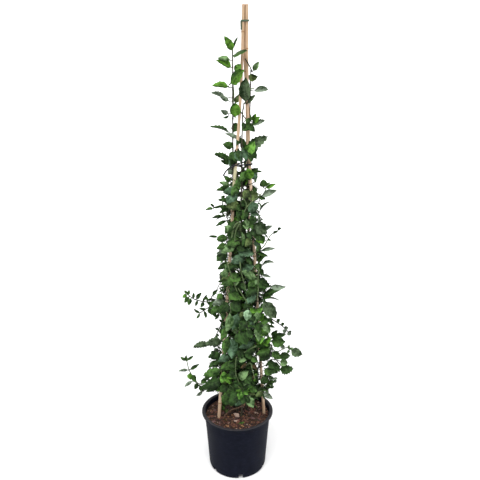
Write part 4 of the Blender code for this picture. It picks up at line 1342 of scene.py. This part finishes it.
        (246.6, 363, 240.6, 368, 3, "young brown"), (251.6, 364.6, 256.6, 369.6, 3, "young brown"),
        (255.6, 376, 249.8, 380, 3, "young brown"), (243, 391, 252, 386.2, 4.6, "oval lime"),
        (243, 391, 248, 394.4, 3.4, "oval lime"), (242.6, 391.6, 239.4, 399.4, 5.4, "oval lime"),
        (242, 391.6, 236.2, 390.4, 3.4, "oval fresh"), (249, 387.6, 257, 391.4, 5.6, "broad mid"),
        (230, 383.6, 238.6, 391.6, 8, "broad dark"), (227, 384.6, 220.4, 391.6, 6.8, "oval dark"),
        (233, 390.4, 224, 397.8, 7, "broad mid"), (240.6, 394, 229.4, 403.6, 8.6, "broad dark"),
        (241, 398, 235.6, 405.6, 7, "broad blue"), (250.4, 395.4, 253.2, 407.2, 7, "broad sage"),
        (248, 391, 255, 394.4, 3.4, "young olive"), (263.6, 392.4, 255.6, 396, 5, "oval olive"),
        (263, 392.6, 272.4, 398.8, 4.8, "broad grey"), (246.6, 374.6, 251.6, 381, 5.4, "oval dark"),
        (228.6, 394.6, 222.4, 402.6, 6, "oval mid"), (231.6, 370, 236.6, 379, 5.4, "oval dark"),
        (240, 363.6, 234.4, 359.4, 5, "oval dark"), (233.6, 380, 241, 384.6, 5, "oval dark"),
        (262, 321, 258, 332, 6, "oval dark"), (228, 397, 226, 405, 6, "oval dark"),
        (234, 396, 231, 406, 7, "broad dark"), (244, 396, 243, 404, 6, "oval dark"),
        (247, 396, 249, 403, 5, "oval dark"),
    ),
    (-0.04, -0.012): (
        (222.6, 340.6, 205.6, 344.6, 7.4, "toothed dusk"), (209.6, 344.4, 193.4, 347.4, 6, "toothed dusk"),
        (220.4, 352, 211.4, 359, 6.6, "broad dark"), (217.4, 354, 208.2, 357.6, 4.4, "toothed dark"),
        (218.6, 361, 209, 367.4, 4.8, "oval dark"), (216, 357, 222.4, 362.6, 5.4, "oval dark"),
        (215, 350.6, 212, 356, 4, "oval dark"), (270.4, 340.6, 284.8, 341.6, 9.6, "broad mid"),
        (271, 338.6, 285.4, 334.2, 5, "oval dark"), (272, 337, 277.4, 330.4, 4.6, "oval dark"),
        (289.5, 349.5, 289.3, 344.8, 2.4, "young sage"), (289.5, 349.5, 286.6, 352.8, 2.2, "young sage"),
        (289.5, 349, 293.2, 347.8, 2, "young sage"), (281, 344.6, 284, 349.4, 3.6, "oval grey"),
        (272, 350.4, 281, 358.6, 6.8, "broad mid"), (278.6, 356.4, 290, 355.8, 7, "broad dark"),
        (279.6, 361, 287.4, 363, 6.4, "round sage"), (279, 368.8, 293, 368.4, 8.4, "toothed dark"),
        (290.6, 349, 302, 354.4, 8, "broad dusk"), (267.6, 361, 277, 367, 6.8, "oval dark"),
        (271.6, 361, 279.4, 371.4, 5.6, "oval dark"), (266, 370, 277.6, 372.4, 5.6, "oval dark"),
        (264, 368, 271.4, 374.6, 6.8, "round mid"), (268.4, 375.6, 261.6, 383.4, 6.8, "round dark"),
        (269.6, 379.2, 277.6, 378, 2.2, "young grey"), (268.4, 381, 274.4, 382.2, 2.4, "young dark"),
        (268, 383.4, 273, 385.8, 2.6, "young dark"), (266, 386.6, 272.6, 387.6, 1.8, "young dark"),
    ),
    (-0.014, -0.006): (
        (186.8, 360.4, 180.6, 356.6, 2.6, "young mid"), (186.8, 360.2, 193.2, 355.8, 2.4, "young mid"),
        (187, 361.6, 186.4, 355.2, 2.8, "young mid"), (189.2, 370.4, 178.4, 371.4, 2.6, "long grey"),
        (189.6, 369.6, 199, 364, 2.8, "long dark"), (191.4, 374, 195.6, 381.4, 4.6, "oval mid"),
        (190.4, 372.4, 190.6, 379.4, 4.6, "oval fresh"), (193.2, 381, 184.8, 386.8, 2.8, "long grey"),
        (197.4, 382.4, 195, 389, 3.6, "oval dark"), (200.4, 384, 207, 378, 4, "oval mid"),
        (199.6, 384.6, 203.6, 391.4, 3.8, "oval dark"), (203, 390.8, 196.4, 395.4, 2.8, "young grey"),
        (207, 389.6, 201.4, 386, 2.6, "young dark"),
    ),
}


sideTwigs = (  # name, kind, limbs it may leave, depth, then points across and down the view
    ("topRightTwig", "dark", "stem_right", -0.009, ((251.8, 71), (249.0, 65), (245.0, 58.5))),
    ("paleLeafTwig", "green", "stem_right", 0.004, ((249.5, 89.6), (252, 88.6), (254.5, 88.4))),
    ("topLeafTwig", "green", "stem_left", 0.002, ((232.6, 56), (232.4, 52), (233, 47))),
    ("crossingTwig", "dark", "stem_left", -0.016,
     ((234.5, 109), (239.8, 111), (243.8, 116.3), (249.5, 125))),
    ("companionStem", "green", "stem_left", 0.004, ((233.8, 106), (233.9, 96), (233.4, 87), (232.6, 81))),
    ("upperRightTwig", "green", "bough_right_upper", -0.01, ((262.7, 196), (265.5, 189))),
    ("upperLeftTwig", "green", "bough_left_upper stem_left", -0.012, ((220.7, 205.5), (213.7, 207.4))),
    ("shoulderTwig", "green", "bough_right_shoulder stem_right", -0.006,
     ((261.5, 248.6), (269.8, 236.5), (273.0, 233.3), (279.0, 229.5))),
    ("highRightTwig", "dark", "bough_right_high", -0.012, ((266.0, 292), (272.0, 286.5))),
    ("highLeftShoot", "dark", "bough_left_high", -0.02,
     ((213, 302), (203, 301.5), (194, 299), (187, 294))),
    ("highLeftLow", "dark", "bough_left_high", -0.016, ((214, 304), (206, 309), (200, 313))),
    ("highLeftTop", "dark", "bough_left_high", -0.018, ((212, 302), (211.5, 297), (216, 291.5))),
    ("droopingTwig", "dark", "bough_right_mid stem_right", -0.02,
     ((266, 316), (272.8, 319.8), (281.5, 325.5), (287, 330.5), (290.3, 333.9))),
    ("lowLeftDrooper", "dark", "stem_left", -0.02, ((225, 318), (220, 327), (214, 339.7))),
    ("midRightTwig", "green", "bough_right_mid", -0.03, ((277, 352), (284, 348.5), (289.4, 346.3))),
    ("midRightLow", "dark", "bough_right_mid", -0.028, ((272, 354), (278, 362), (283, 367))),
    ("lowLeftShoot", "green", "bough_left_low", -0.012,
     ((204, 388.6), (194.9, 379.5), (189.5, 371), (187.4, 363.7), (186.6, 359.6))),
    ("lowLeftSide", "green", "bough_left_low", -0.01, ((208, 385), (200, 384), (193.2, 381))),
    ("lowRightTwig", "dark", "bough_right_low stem_right", -0.016,
     ((263, 390), (270, 387.4), (274, 381), (276, 377))),
    ("rimTwig", "dark", "bough_right_low stem_right", -0.04, ((258, 391), (264.5, 393.5))),
    ("leftRimTwig", "dark", "bough_left_low stem_left", -0.03, ((212, 388), (204, 390.3), (198, 394.5))),
    ("archedTwig1", "green", "stem_left stem_middle", -0.059,
     ((237.5, 223), (233.5, 228), (231.8, 234), (231.6, 240))),
    ("archedTwig2", "green", "stem_left stem_middle", -0.06,
     ((240, 224), (236.5, 229), (235, 235.5), (234.8, 241.5))),
    ("crossedTwig", "green", "stem_left stem_middle", -0.048,
     ((241, 197.5), (244.5, 200), (246.5, 205), (245.5, 209.5))),
    ("forkedTwig", "green", "stem_left stem_middle", -0.05,
     ((245, 210.5), (247.5, 206), (251, 202.5), (256.5, 198.5), (262, 192.5))),
    ("lowTwig1", "green", "stem_left stem_middle", -0.082,
     ((236.6, 357), (235.5, 366), (236, 375), (238.5, 381), (241.5, 388), (244, 391))),
    ("lowTwig2", "green", "stem_right stem_middle", -0.082, ((250, 363), (252.5, 371), (255, 379))),
    ("curvedTwig", "green", "stem_left stem_middle", -0.078,
     ((243.5, 322), (241, 326), (236, 329.5), (232, 331))),
    ("slantedTwig", "green", "stem_right stem_middle", -0.081, ((256.5, 346), (250, 349), (244, 352.5))),
    ("frontStem1", "green", "stem_left stem_middle", -0.068,
     ((228, 262), (229.5, 270), (234, 283), (237, 292), (240, 300))),
    ("frontStem2", "green", "stem_left stem_middle", -0.068,
     ((240, 262), (241, 271), (243.5, 281), (246, 291))),
    ("frontStem3", "green", "stem_right stem_middle", -0.069,
     ((257.5, 268), (258, 278), (258.2, 290), (257, 300))),
    ("frontStem4", "green", "stem_left stem_middle", -0.058,
     ((239, 222), (236, 226), (233, 232), (232, 238))),
    ("frontStem5", "green", "stem_left stem_middle", -0.067, ((228, 288), (229.5, 300), (231, 313))),
    ("frontStem6", "green", "stem_middle stem_right", -0.067, ((247, 304), (243, 296), (238, 288))),
)


# ---- growing the plant by a seeded rule


growth = {
    "seed": 41,
    "crownAxis": (0.014, 0.002),
    "reach": ((0.25, 0.118), (0.33, 0.124), (0.46, 0.112), (0.6, 0.094), (0.76, 0.086), (0.96, 0.08),
              (1.08, 0.062), (1.2, 0.05)),      # how far from the middle leaves get, by height
    "top": 1.1, "bottom": 0.24,
    "stemLeaf": (0.036, 0.058), "shootLeaf": (0.024, 0.044), "shoot": (0.035, 0.085), "shootShare": 0.95,
    "pairEvery": 0.0145, "longTwig": 0.026,
    "shootRadii": (0.0014, 0.0009), "twigRadii": (0.0024, 0.0016), "stalkRadii": (0.0018, 0.001),
    "shootSpacing": 0.008, "greenShare": 0.35, "shortest": 0.02, "tipSpace": 0.012,
    "stemGap": (0.024, 0.036), "smallLeaf": 0.024, "roomForShoot": 0.03, "sprayTwigs": 7, "sprayFrom": 0.35,
    # the grown leaves mostly take the dark tint: partly the leaves' own dark green, partly painted shade inside
    # the crown
    "tints": (("dark", 0.56), ("mid", 0.2), ("blue", 0.12), ("olive", 0.04), ("fresh", 0.05), ("sage", 0.03)),
    # how far forward the growth comes behind the leaves that the view shows, by height
    "forward": ((0.25, -0.066), (0.42, -0.066), (0.5, -0.058), (0.62, -0.046), (0.8, -0.034), (0.95, -0.02),
                (1.1, -0.004), (1.5, 0.000)),
    "shapes": (("broad", 0.3), ("oval", 0.42), ("long", 0.14), ("round", 0.08), ("toothed", 0.06)),
}


longTwigs = []


def choose(dice, table):
    pick = dice.random() * sum(share for _, share in table)
    for name, share in table:
        pick -= share
        if pick <= 0:
            return name
    return table[-1][0]


# the masses that the boughs coming forward carry, and how far a spray domes out inside one
frontSprays = {"masses": ("foliage_front_low", "foliage_front_high"), "dome": 0.55, "edge": 0.92}


def inForwardMass(place):
    # whether it lies in the rear half of such a mass, or on the way to it
    for mass in frontSprays["masses"]:
        low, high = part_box(mass)
        if low.x < place.x < high.x and low.z < place.z < high.z and place.y > (low.y + high.y) / 2:
            return True
    return False


leafHabit = {
    "rise": (0.3, 0.9), "sway": 0.45, "fullness": (0.85, 1.1),           # how a leaf faces, and its own width
    "lift": (0.05, 0.35), "bend": 0.15, "turn": 55, "smallerOutwards": 0.35, "sameTint": 0.7,
    "onwards": (0.3, 0.7), "hang": (0.1, 0.9), "lastLeaf": 0.6, "lastRise": 0.2,
}


def tryLeaf(dice, base, direction, length, tint, inside=True):
    # hangs one leaf unless it would close an opening or leave the plant's outline
    shape = choose(dice, growth["shapes"]) if length > growth["smallLeaf"] else "young"
    direction = direction.normalized()
    tip = base + direction * length
    outwards = Vector((*(base.lerp(tip, 0.6).xy - Vector(growth["crownAxis"])).normalized(), 0))
    sway = leafHabit["sway"]
    facing = up(dice.uniform(*leafHabit["rise"])) + outwards + Vector(
        (dice.uniform(-sway, sway), dice.uniform(-sway, sway), 0))
    _, side = leafFrame(base, tip, facing)
    samples = leafSamples(shape, base, tip, side)
    forward = any(sample.y < between(growth["forward"], sample.z) and not inForwardMass(sample)
                  for sample in samples)
    if forward or hidesAnOpening(samples) or (inside and outsideTheEdges(samples)):
        return False
    fullness = dice.uniform(*leafHabit["fullness"])
    hangLeaf(shape, tint, base, tip, facing, fullness, dice.randrange(len(leafShapes[shape][6])))
    return True


def growShoot(dice, name, kind, start, direction, length, leafRange, tint, inside=True):
    # a shoot that lifts towards its tip, with leaves in pairs
    lift = up(dice.uniform(*leafHabit["lift"]) * length)
    most = leafHabit["bend"]
    bend = Vector((dice.uniform(-most, most), dice.uniform(-most, most), 0)) * length
    points = [start, start + direction * length * 0.5 + bend * 0.6, start + direction * length + lift + bend]
    path = smoothPath(points, growth["shootSpacing"])
    pairs = max(1, round(length / growth["pairEvery"]))
    hung, turn = 0, dice.uniform(-0.5, 0.5)
    for pair in range(pairs):
        share = (pair + 0.7) / (pairs + 0.2)
        place, along = pointAlong(path, share * pathLengths(path)[-1])
        across = along.cross(up(1)).normalized()
        over = across.cross(along)
        turn += math.radians(leafHabit["turn"]) * (1 if pair % 2 else -1)
        size = dice.uniform(*leafRange) * (1 - leafHabit["smallerOutwards"] * share)
        for way in (-1, 1):
            spread = (across * math.cos(turn) + over * math.sin(turn)) * way
            heading = along * dice.uniform(*leafHabit["onwards"]) + spread
            heading -= up(dice.uniform(*leafHabit["hang"]))
            own = tint if dice.random() < leafHabit["sameTint"] else choose(dice, growth["tints"])
            hung += tryLeaf(dice, place, heading, size * dice.uniform(*leafHabit["fullness"]), own, inside)
    place, along = path[-1], (path[-1] - path[-2]).normalized()
    heading = along + up(leafHabit["lastRise"])
    hung += tryLeaf(dice, place, heading, dice.uniform(*leafRange) * leafHabit["lastLeaf"], tint, inside)
    if hung:
        addLimb(name, kind, path, *growth["shootRadii"])


def growCrown():
    dice = random.Random(growth["seed"])
    shoots = 0
    middle = Vector(growth["crownAxis"])
    for stem, heights in stemNodes.items():
        turn = dice.uniform(0, math.pi)
        for height in heights:
            turn += math.pi / 2 + dice.uniform(-0.25, 0.25)
            if not growth["bottom"] < height < growth["top"]:
                continue
            place, _ = pointAtHeight(limbs["stem_" + stem]["path"], height)
            for way in (0, math.pi):
                heading = around(turn + way)
                room = between(growth["reach"], height) - (place.xy - middle).dot(heading.xy)
                tint = choose(dice, growth["tints"])
                droop = dice.uniform(-1.7, 0.0)
                tryLeaf(dice, place, heading + up(droop), dice.uniform(*growth["stemLeaf"]), tint)
                if dice.random() < growth["shootShare"] and room > growth["roomForShoot"]:
                    length = min(dice.uniform(*growth["shoot"]), room - growth["tipSpace"])
                    rise = up(dice.uniform(-0.15, 0.55))
                    kind = "green" if dice.random() < growth["greenShare"] else "dark"
                    shoots += 1
                    growShoot(dice, f"shoot{shoots}", kind, place, (heading + rise).normalized(),
                              max(growth["shortest"], length), growth["shootLeaf"], tint)


climbers = {
    "pitch": 0.23, "turnPoints": 8, "standOff": 0.006, "radii": (0.0017, 0.001), "step": 0.012,
    "ontoCane": 0.06, "firstPair": 0.03, "leafShare": 0.9, "shootShare": 0.6, "shoot": (0.022, 0.052),
    "each": (  # cane, the stem it leaves, heights where it starts and ends, first turn
        ("left", "left", 0.225, 1.00, 200), ("left", "middle", 0.3, 0.9, 20),
        ("right", "right", 0.23, 1.04, 320), ("right", "middle", 0.33, 0.92, 140),
        ("rear", "rear", 0.24, 0.9, 60), ("rear", "right", 0.36, 0.84, 250),
    ),
}


def growClimbers():
    # side stems that twine up the canes, with leaves in pairs
    dice = random.Random(growth["seed"] + 2)
    for number, (cane, stem, low, high, turn) in enumerate(climbers["each"]):
        start, _ = pointAtHeight(limbs["stem_" + stem]["path"], low)
        points, height = [start], low + climbers["ontoCane"]
        while height < high:
            angle = math.radians(turn) + math.tau * (height - low) / climbers["pitch"]
            reach = caneRadius(cane, height) + climbers["standOff"]
            points.append(caneCentre(cane, height) + around(angle) * reach)
            height += climbers["pitch"] / climbers["turnPoints"]
        path = smoothPath(points, climbers["step"])
        addLimb(f"climber{number}", "dark", path, *climbers["radii"])
        total, along = pathLengths(path)[-1], climbers["firstPair"]
        side = dice.uniform(0, math.pi)
        pair = 0
        while along < total:
            place, _ = pointAlong(path, along)
            side += math.pi / 2 + dice.uniform(-0.3, 0.3)
            for way in (0, math.pi):
                heading = around(side + way)
                tint = choose(dice, growth["tints"])
                tryLeaf(dice, place, heading + up(dice.uniform(-1.5, 0.2)),
                        dice.uniform(*growth["stemLeaf"]) * climbers["leafShare"], tint)
                if dice.random() < climbers["shootShare"]:
                    pair += 1
                    rise = up(dice.uniform(-0.2, 0.5))
                    growShoot(dice, f"climber{number}Shoot{pair}", "dark", place, (heading + rise).normalized(),
                              dice.uniform(*climbers["shoot"]), growth["shootLeaf"], tint)
            along += dice.uniform(*growth["stemGap"])


def growSprays():
    # leafy twigs at the ends of the boughs that come forward and go back
    dice = random.Random(growth["seed"] + 1)
    for name, (_, _, _, size, _) in boughs["each"].items():
        if not name.startswith(("front", "rear")):
            continue
        path = limbs["bough_" + name]["path"]
        length = pathLengths(path)[-1]
        outwards = (path[-1] - path[0]).normalized()
        last = growth["sprayTwigs"] - 1
        for index in range(growth["sprayTwigs"]):
            share = growth["sprayFrom"] + (1 - growth["sprayFrom"]) * index / last
            start, _ = pointAlong(path, length * share)
            side = Vector((-outwards.y, outwards.x, 0)) * (1 if index % 2 else -1)
            heading = (outwards * dice.uniform(0.3, 0.9) + side * dice.uniform(0.3, 1.0)
                       + up(dice.uniform(-0.3, 0.7))).normalized()
            if index == last:
                heading = outwards
            growShoot(dice, f"{name}Twig{index}", "green" if dice.random() < 0.4 else "dark", start, heading,
                      dice.uniform(0.6, 1.0) * min(size), growth["shootLeaf"],
                      choose(dice, growth["tints"]), inside=name.startswith("front"))


fallen = {  # leaves lying on the compost: place, heading, length, shape and tint
    "lift": 0.0045,
    "each": ((0.004, -0.07, 15, 0.022, "young", "lime"), (0.014, -0.077, 70, 0.02, "young", "olive"),
             (-0.034, -0.062, 140, 0.024, "oval", "brown"), (0.058, -0.046, -35, 0.022, "oval", "brown"),
             (0.036, 0.062, 200, 0.028, "oval", "brown"), (-0.07, 0.04, 80, 0.026, "oval", "brown"),
             (0.072, 0.02, 110, 0.02, "young", "olive"), (-0.045, 0.072, 10, 0.022, "young", "olive")),
}


def dropLeaves():
    for x, y, heading, length, shape, tint in fallen["each"]:
        turn = math.radians(heading)
        base = Vector((x, y, soil["level"] + fallen["lift"]))
        tip = base + Vector((length * math.cos(turn), length * math.sin(turn), 0.002))
        hangLeaf(shape, tint, base, tip, Vector((0.1, -0.15, 1)))


def risingStart(place, among):
    # where a twig to this place leaves the plant: a long one starts lower down and rises outwards
    start, gap = nearestOnLimbs(place, among)
    if gap > growth["longTwig"]:
        start, _ = nearestOnLimbs(place - up(gap * 0.9), among)
    return start, gap


def leafLongTwigs():
    # leaves in pairs along the twigs that reach out to the front of the crown
    dice = random.Random(growth["seed"] + 3)
    for name in longTwigs:
        path = limbs[name]["path"]
        total, along = pathLengths(path)[-1], growth["longTwig"] * 0.5
        side = dice.uniform(0, math.pi)
        while along < total - 0.006:
            place, heading = pointAlong(path, along)
            side += math.pi / 2 + dice.uniform(-0.3, 0.3)
            for way in (0, math.pi):
                out = Vector((math.cos(side + way), math.sin(side + way), dice.uniform(-1.2, 0.3)))
                tryLeaf(dice, place, out + heading * 0.4, dice.uniform(*growth["shootLeaf"]),
                        choose(dice, growth["tints"]))
            along += growth["pairEvery"]


hanging = {
    "pointReach": 1.06,          # a leaf's point runs too thin to be seen, so it is made this much longer
    "thinEdges": 0.4,            # and so are its edges, in the view's own units
    "filled": 0.92,              # how much of its full width a leaf shows
    "stalkOverlap": 0.09, "shortStalk": 0.0015, "shortTwig": 0.004, "stalkRise": 0.16, "mostRise": 0.012,
}


def hangSeen(baseSeen, tipSeen, wide, shape, tint, depth, nearer, among, name):
    # hangs a leaf where the view shows it, rolled until it looks that wide, on a stalk from the nearest limb
    base, tip = fromView(*baseSeen, depth), fromView(*tipSeen, depth + nearer)
    tip = base.lerp(tip, hanging["pointReach"])
    start, gap = risingStart(base, among)
    if gap > growth["longTwig"]:
        longTwigs.append(name)
    if gap > hanging["shortStalk"]:
        middle = start.lerp(base, 0.5) + up(min(hanging["mostRise"], gap * hanging["stalkRise"]))
        stalk = smoothPath([start, middle, base, base.lerp(tip, hanging["stalkOverlap"])], stems["spacing"])
        addLimb(name, "dark", stalk, *growth["stalkRadii"])
        among.append(name)
    along = (tip - base).normalized()
    toViewer = camera["place"] - base.lerp(tip, 0.5)
    wide += hanging["thinEdges"]
    natural = leafShapes[shape][1] * (tip - base).length * camera["focal"] / toViewer.length
    natural *= hanging["filled"]
    frontal = (toViewer - along * toViewer.dot(along)).normalized()
    raised = along.cross(frontal)
    if raised.z < 0:
        raised.negate()
    roll = math.acos(min(1.0, wide / natural))
    facing = frontal * math.cos(roll) + raised * math.sin(roll)
    hangLeaf(shape, tint, base, tip, facing, max(1.0, wide / natural))


def depthInSpray(across, down, depth):
    # a leaf seen over a forward bough's mass hangs inside that mass; any other keeps its own depth
    for mass in frontSprays["masses"]:
        low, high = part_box(mass)
        middle, half = (low + high) / 2, (high - low) / 2
        place = fromView(across, down, middle.y)
        out = math.hypot((place.x - middle.x) / half.x, (place.z - middle.z) / half.z) / frontSprays["edge"]
        if out < 1:
            return middle.y - half.y * frontSprays["dome"] * math.sqrt(1 - out * out)
    return depth


def placeKnownLeaves():
    for name, kind, among, depth, points in sideTwigs:
        path = [fromView(across, down, depth) for across, down in points]
        start, gap = risingStart(path[0], among.split())
        if gap > hanging["shortTwig"]:
            path.insert(0, start)
        else:
            path[0] = start
        addLimb(name, kind, smoothPath(path, stems["spacing"]), *growth["twigRadii"])
        if gap > growth["longTwig"]:
            longTwigs.append(name)
    among = list(limbs)
    for (depth, nearer), rows in seenLeaves.items():
        for index, (across, down, tipAcross, tipDown, wide, kind) in enumerate(rows):
            own = depthInSpray((across + tipAcross) / 2, (down + tipDown) / 2, depth)
            hangSeen((across, down), (tipAcross, tipDown), wide, *kind.split(), own, nearer, among,
                     f"stalk{depth:.3f}_{nearer:.3f}_{index}")


def modelLimbs():
    finishes = {
        "woody": woodyBark(),
        "green": streakedBark("greenBark", 0.55, 300, 0.0003, (0.35, (0.05, 0.08, 0.028)),
                              (0.65, (0.12, 0.17, 0.075))),
        "dark": streakedBark("darkTwigBark", 0.65, 350, 0.0003, (0.35, (0.012, 0.016, 0.009)),
                             (0.65, (0.042, 0.046, 0.028))),
        "brown": streakedBark("brownTwigBark", 0.75, 350, 0.0003, (0.35, (0.07, 0.04, 0.026)),
                              (0.65, (0.23, 0.15, 0.1))),
    }
    joined = {"green": [], "dark": []}
    bark = bpy.data.textures.new("barkRelief", "CLOUDS")
    bark.noise_scale = stems["reliefSize"]
    bark.noise_depth = 3
    for name, limb in limbs.items():
        if limb["kind"] != "woody":
            joined[limb["kind"]].append((limb["path"], limb["radii"]))
            continue
        finish = finishes["brown" if name == "stem_arching" else "woody"]
        piece = tubes(name, [(limb["path"], limb["radii"])], stems["sides"], finish)
        ridges = piece.modifiers.new("Bark", "DISPLACE")
        ridges.texture = bark
        ridges.texture_coords = "GLOBAL"
        ridges.strength = stems["relief"]
        ridges.mid_level = 0.5
        applyModifiers(piece)
        shadeRound(piece, 60)
        words = name.split("_")
        putOnPlant(piece, words[0] + "".join(word.capitalize() for word in words[1:]), [name])
    for kind, runs in joined.items():
        piece = tubes(kind + "Twigs", runs, 6, finishes[kind])
        shadeRound(piece, 60)
        putOnPlant(piece, kind + "Twigs")


def modelLeaves(foliageNodes):
    number = 0
    for shape, (*outline, variants) in leafShapes.items():
        for index, variant in enumerate(variants):
            number += 1
            leafTemplates[shape, index] = modelLeaf(f"{shape}Leaf{index}", *outline, *variant, number)
    for tint in leafColours:
        places = [leaf for leaf in leaves if leaf[2] == tint]
        if not places:
            continue
        top, under = leafTop(tint), leafUnder(tint)
        for template in leafTemplates.values():
            template.data.materials[0], template.data.materials[1] = top, under
        copies = [copyOf(leafTemplates[shape, variant], place) for shape, variant, _, place in places]
        piece = joinAll(copies)
        putOnPlant(piece, "leaves" + tint.capitalize(), foliageNodes)
        print(tint, "leaves:", len(places), "with", len(piece.data.polygons), "faces")
    for template in leafTemplates.values():
        bpy.data.objects.remove(template)


# ---- floor, light and camera


stage = {"flat": 3.6, "rise": 1.6, "wallTop": 4.0, "segments": 64, "steps": 10}


def modelFloor():
    # a pale floor that turns up into a pale wall all round
    clearSelection()
    bpy.ops.mesh.primitive_circle_add(vertices=stage["segments"], radius=stage["flat"], fill_type="NGON",
                                      location=(0, 0, 0))
    floor = bpy.context.object
    editAll()
    bpy.ops.mesh.inset(thickness=stage["flat"] * 0.5)
    pickPoints(floor, lambda co: co.xy.length > stage["flat"] * 0.9)
    profile = [(stage["flat"], 0.0)]
    for step in range(1, stage["steps"] + 1):
        turn = math.pi / 2 * step / stage["steps"]
        profile.append((stage["flat"] + stage["rise"] * math.sin(turn), stage["rise"] * (1 - math.cos(turn))))
    profile.append((profile[-1][0], stage["wallTop"]))
    growRings(profile)
    leaveEditing()
    floor.name = "paleFloor"
    finish = newFinish("paleFloor", 0.9, 0.2)
    paint(finish, colour=ramp(finish, noise(finish, 2.0), (0.3, (0.92, 0.92, 0.92)), (0.7, (0.95, 0.95, 0.95))))
    giveMaterials(floor, finish)
    shadeRound(floor, 60)


light = {"sky": 0.52, "sun": 3.9, "softness": math.radians(60), "turn": (math.radians(38), math.radians(-3), 0)}


def lightScene():
    world = bpy.data.worlds.new("paleStudio")
    bpy.context.scene.world = world
    world.use_nodes = True
    background = world.node_tree.nodes["Background"]
    background.inputs["Color"].default_value = (1.0, 1.0, 1.0, 1.0)
    background.inputs["Strength"].default_value = light["sky"]
    sun = bpy.data.lights.new("softKey", "SUN")
    sun.energy = light["sun"]
    sun.angle = light["softness"]
    lamp = bpy.data.objects.new("softKey", sun)
    lamp.rotation_euler = light["turn"]
    putInScene(lamp)


def placeCamera():
    lens = bpy.data.cameras.new("viewCamera")
    lens.lens = camera["lens"]
    lens.sensor_width = camera["sensor"]
    lens.dof.use_dof = False
    eye = bpy.data.objects.new("viewCamera", lens)
    eye.location = camera["place"]
    eye.rotation_euler = (camera["tilt"], 0, 0)
    putInScene(eye)
    bpy.context.scene.camera = eye


# ---- building it all


modelPot()
print("pot modelled")
modelSoil()
scatterChips()
print("compost and bark modelled")
caneFinishes = (bambooSkin(), grained("bambooNode", (0.18, 0.095, 0.045), (0.43, 0.27, 0.15), 0.65),
                grained("bambooPith", (0.3, 0.2, 0.11), (0.62, 0.47, 0.31), 0.85))
for caneName in canes["each"]:
    modelCane(caneName, caneFinishes)
modelWireTie()
modelBlackTie()
print("canes and ties modelled")
growStems()
growBoughs()
placeKnownLeaves()
growCrown()
growClimbers()
growSprays()
leafLongTwigs()
dropLeaves()
print("plant grown:", len(limbs), "limbs,", len(leaves), "leaves")
modelLimbs()
modelLeaves([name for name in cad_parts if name.startswith("foliage_")])
print("plant modelled")
modelFloor()
lightScene()
placeCamera()
bpy.context.scene.view_settings.view_transform = "Standard"
for mesh in [mesh for mesh in bpy.data.meshes if not mesh.users]:
    bpy.data.meshes.remove(mesh)

print("stage, light and camera set")
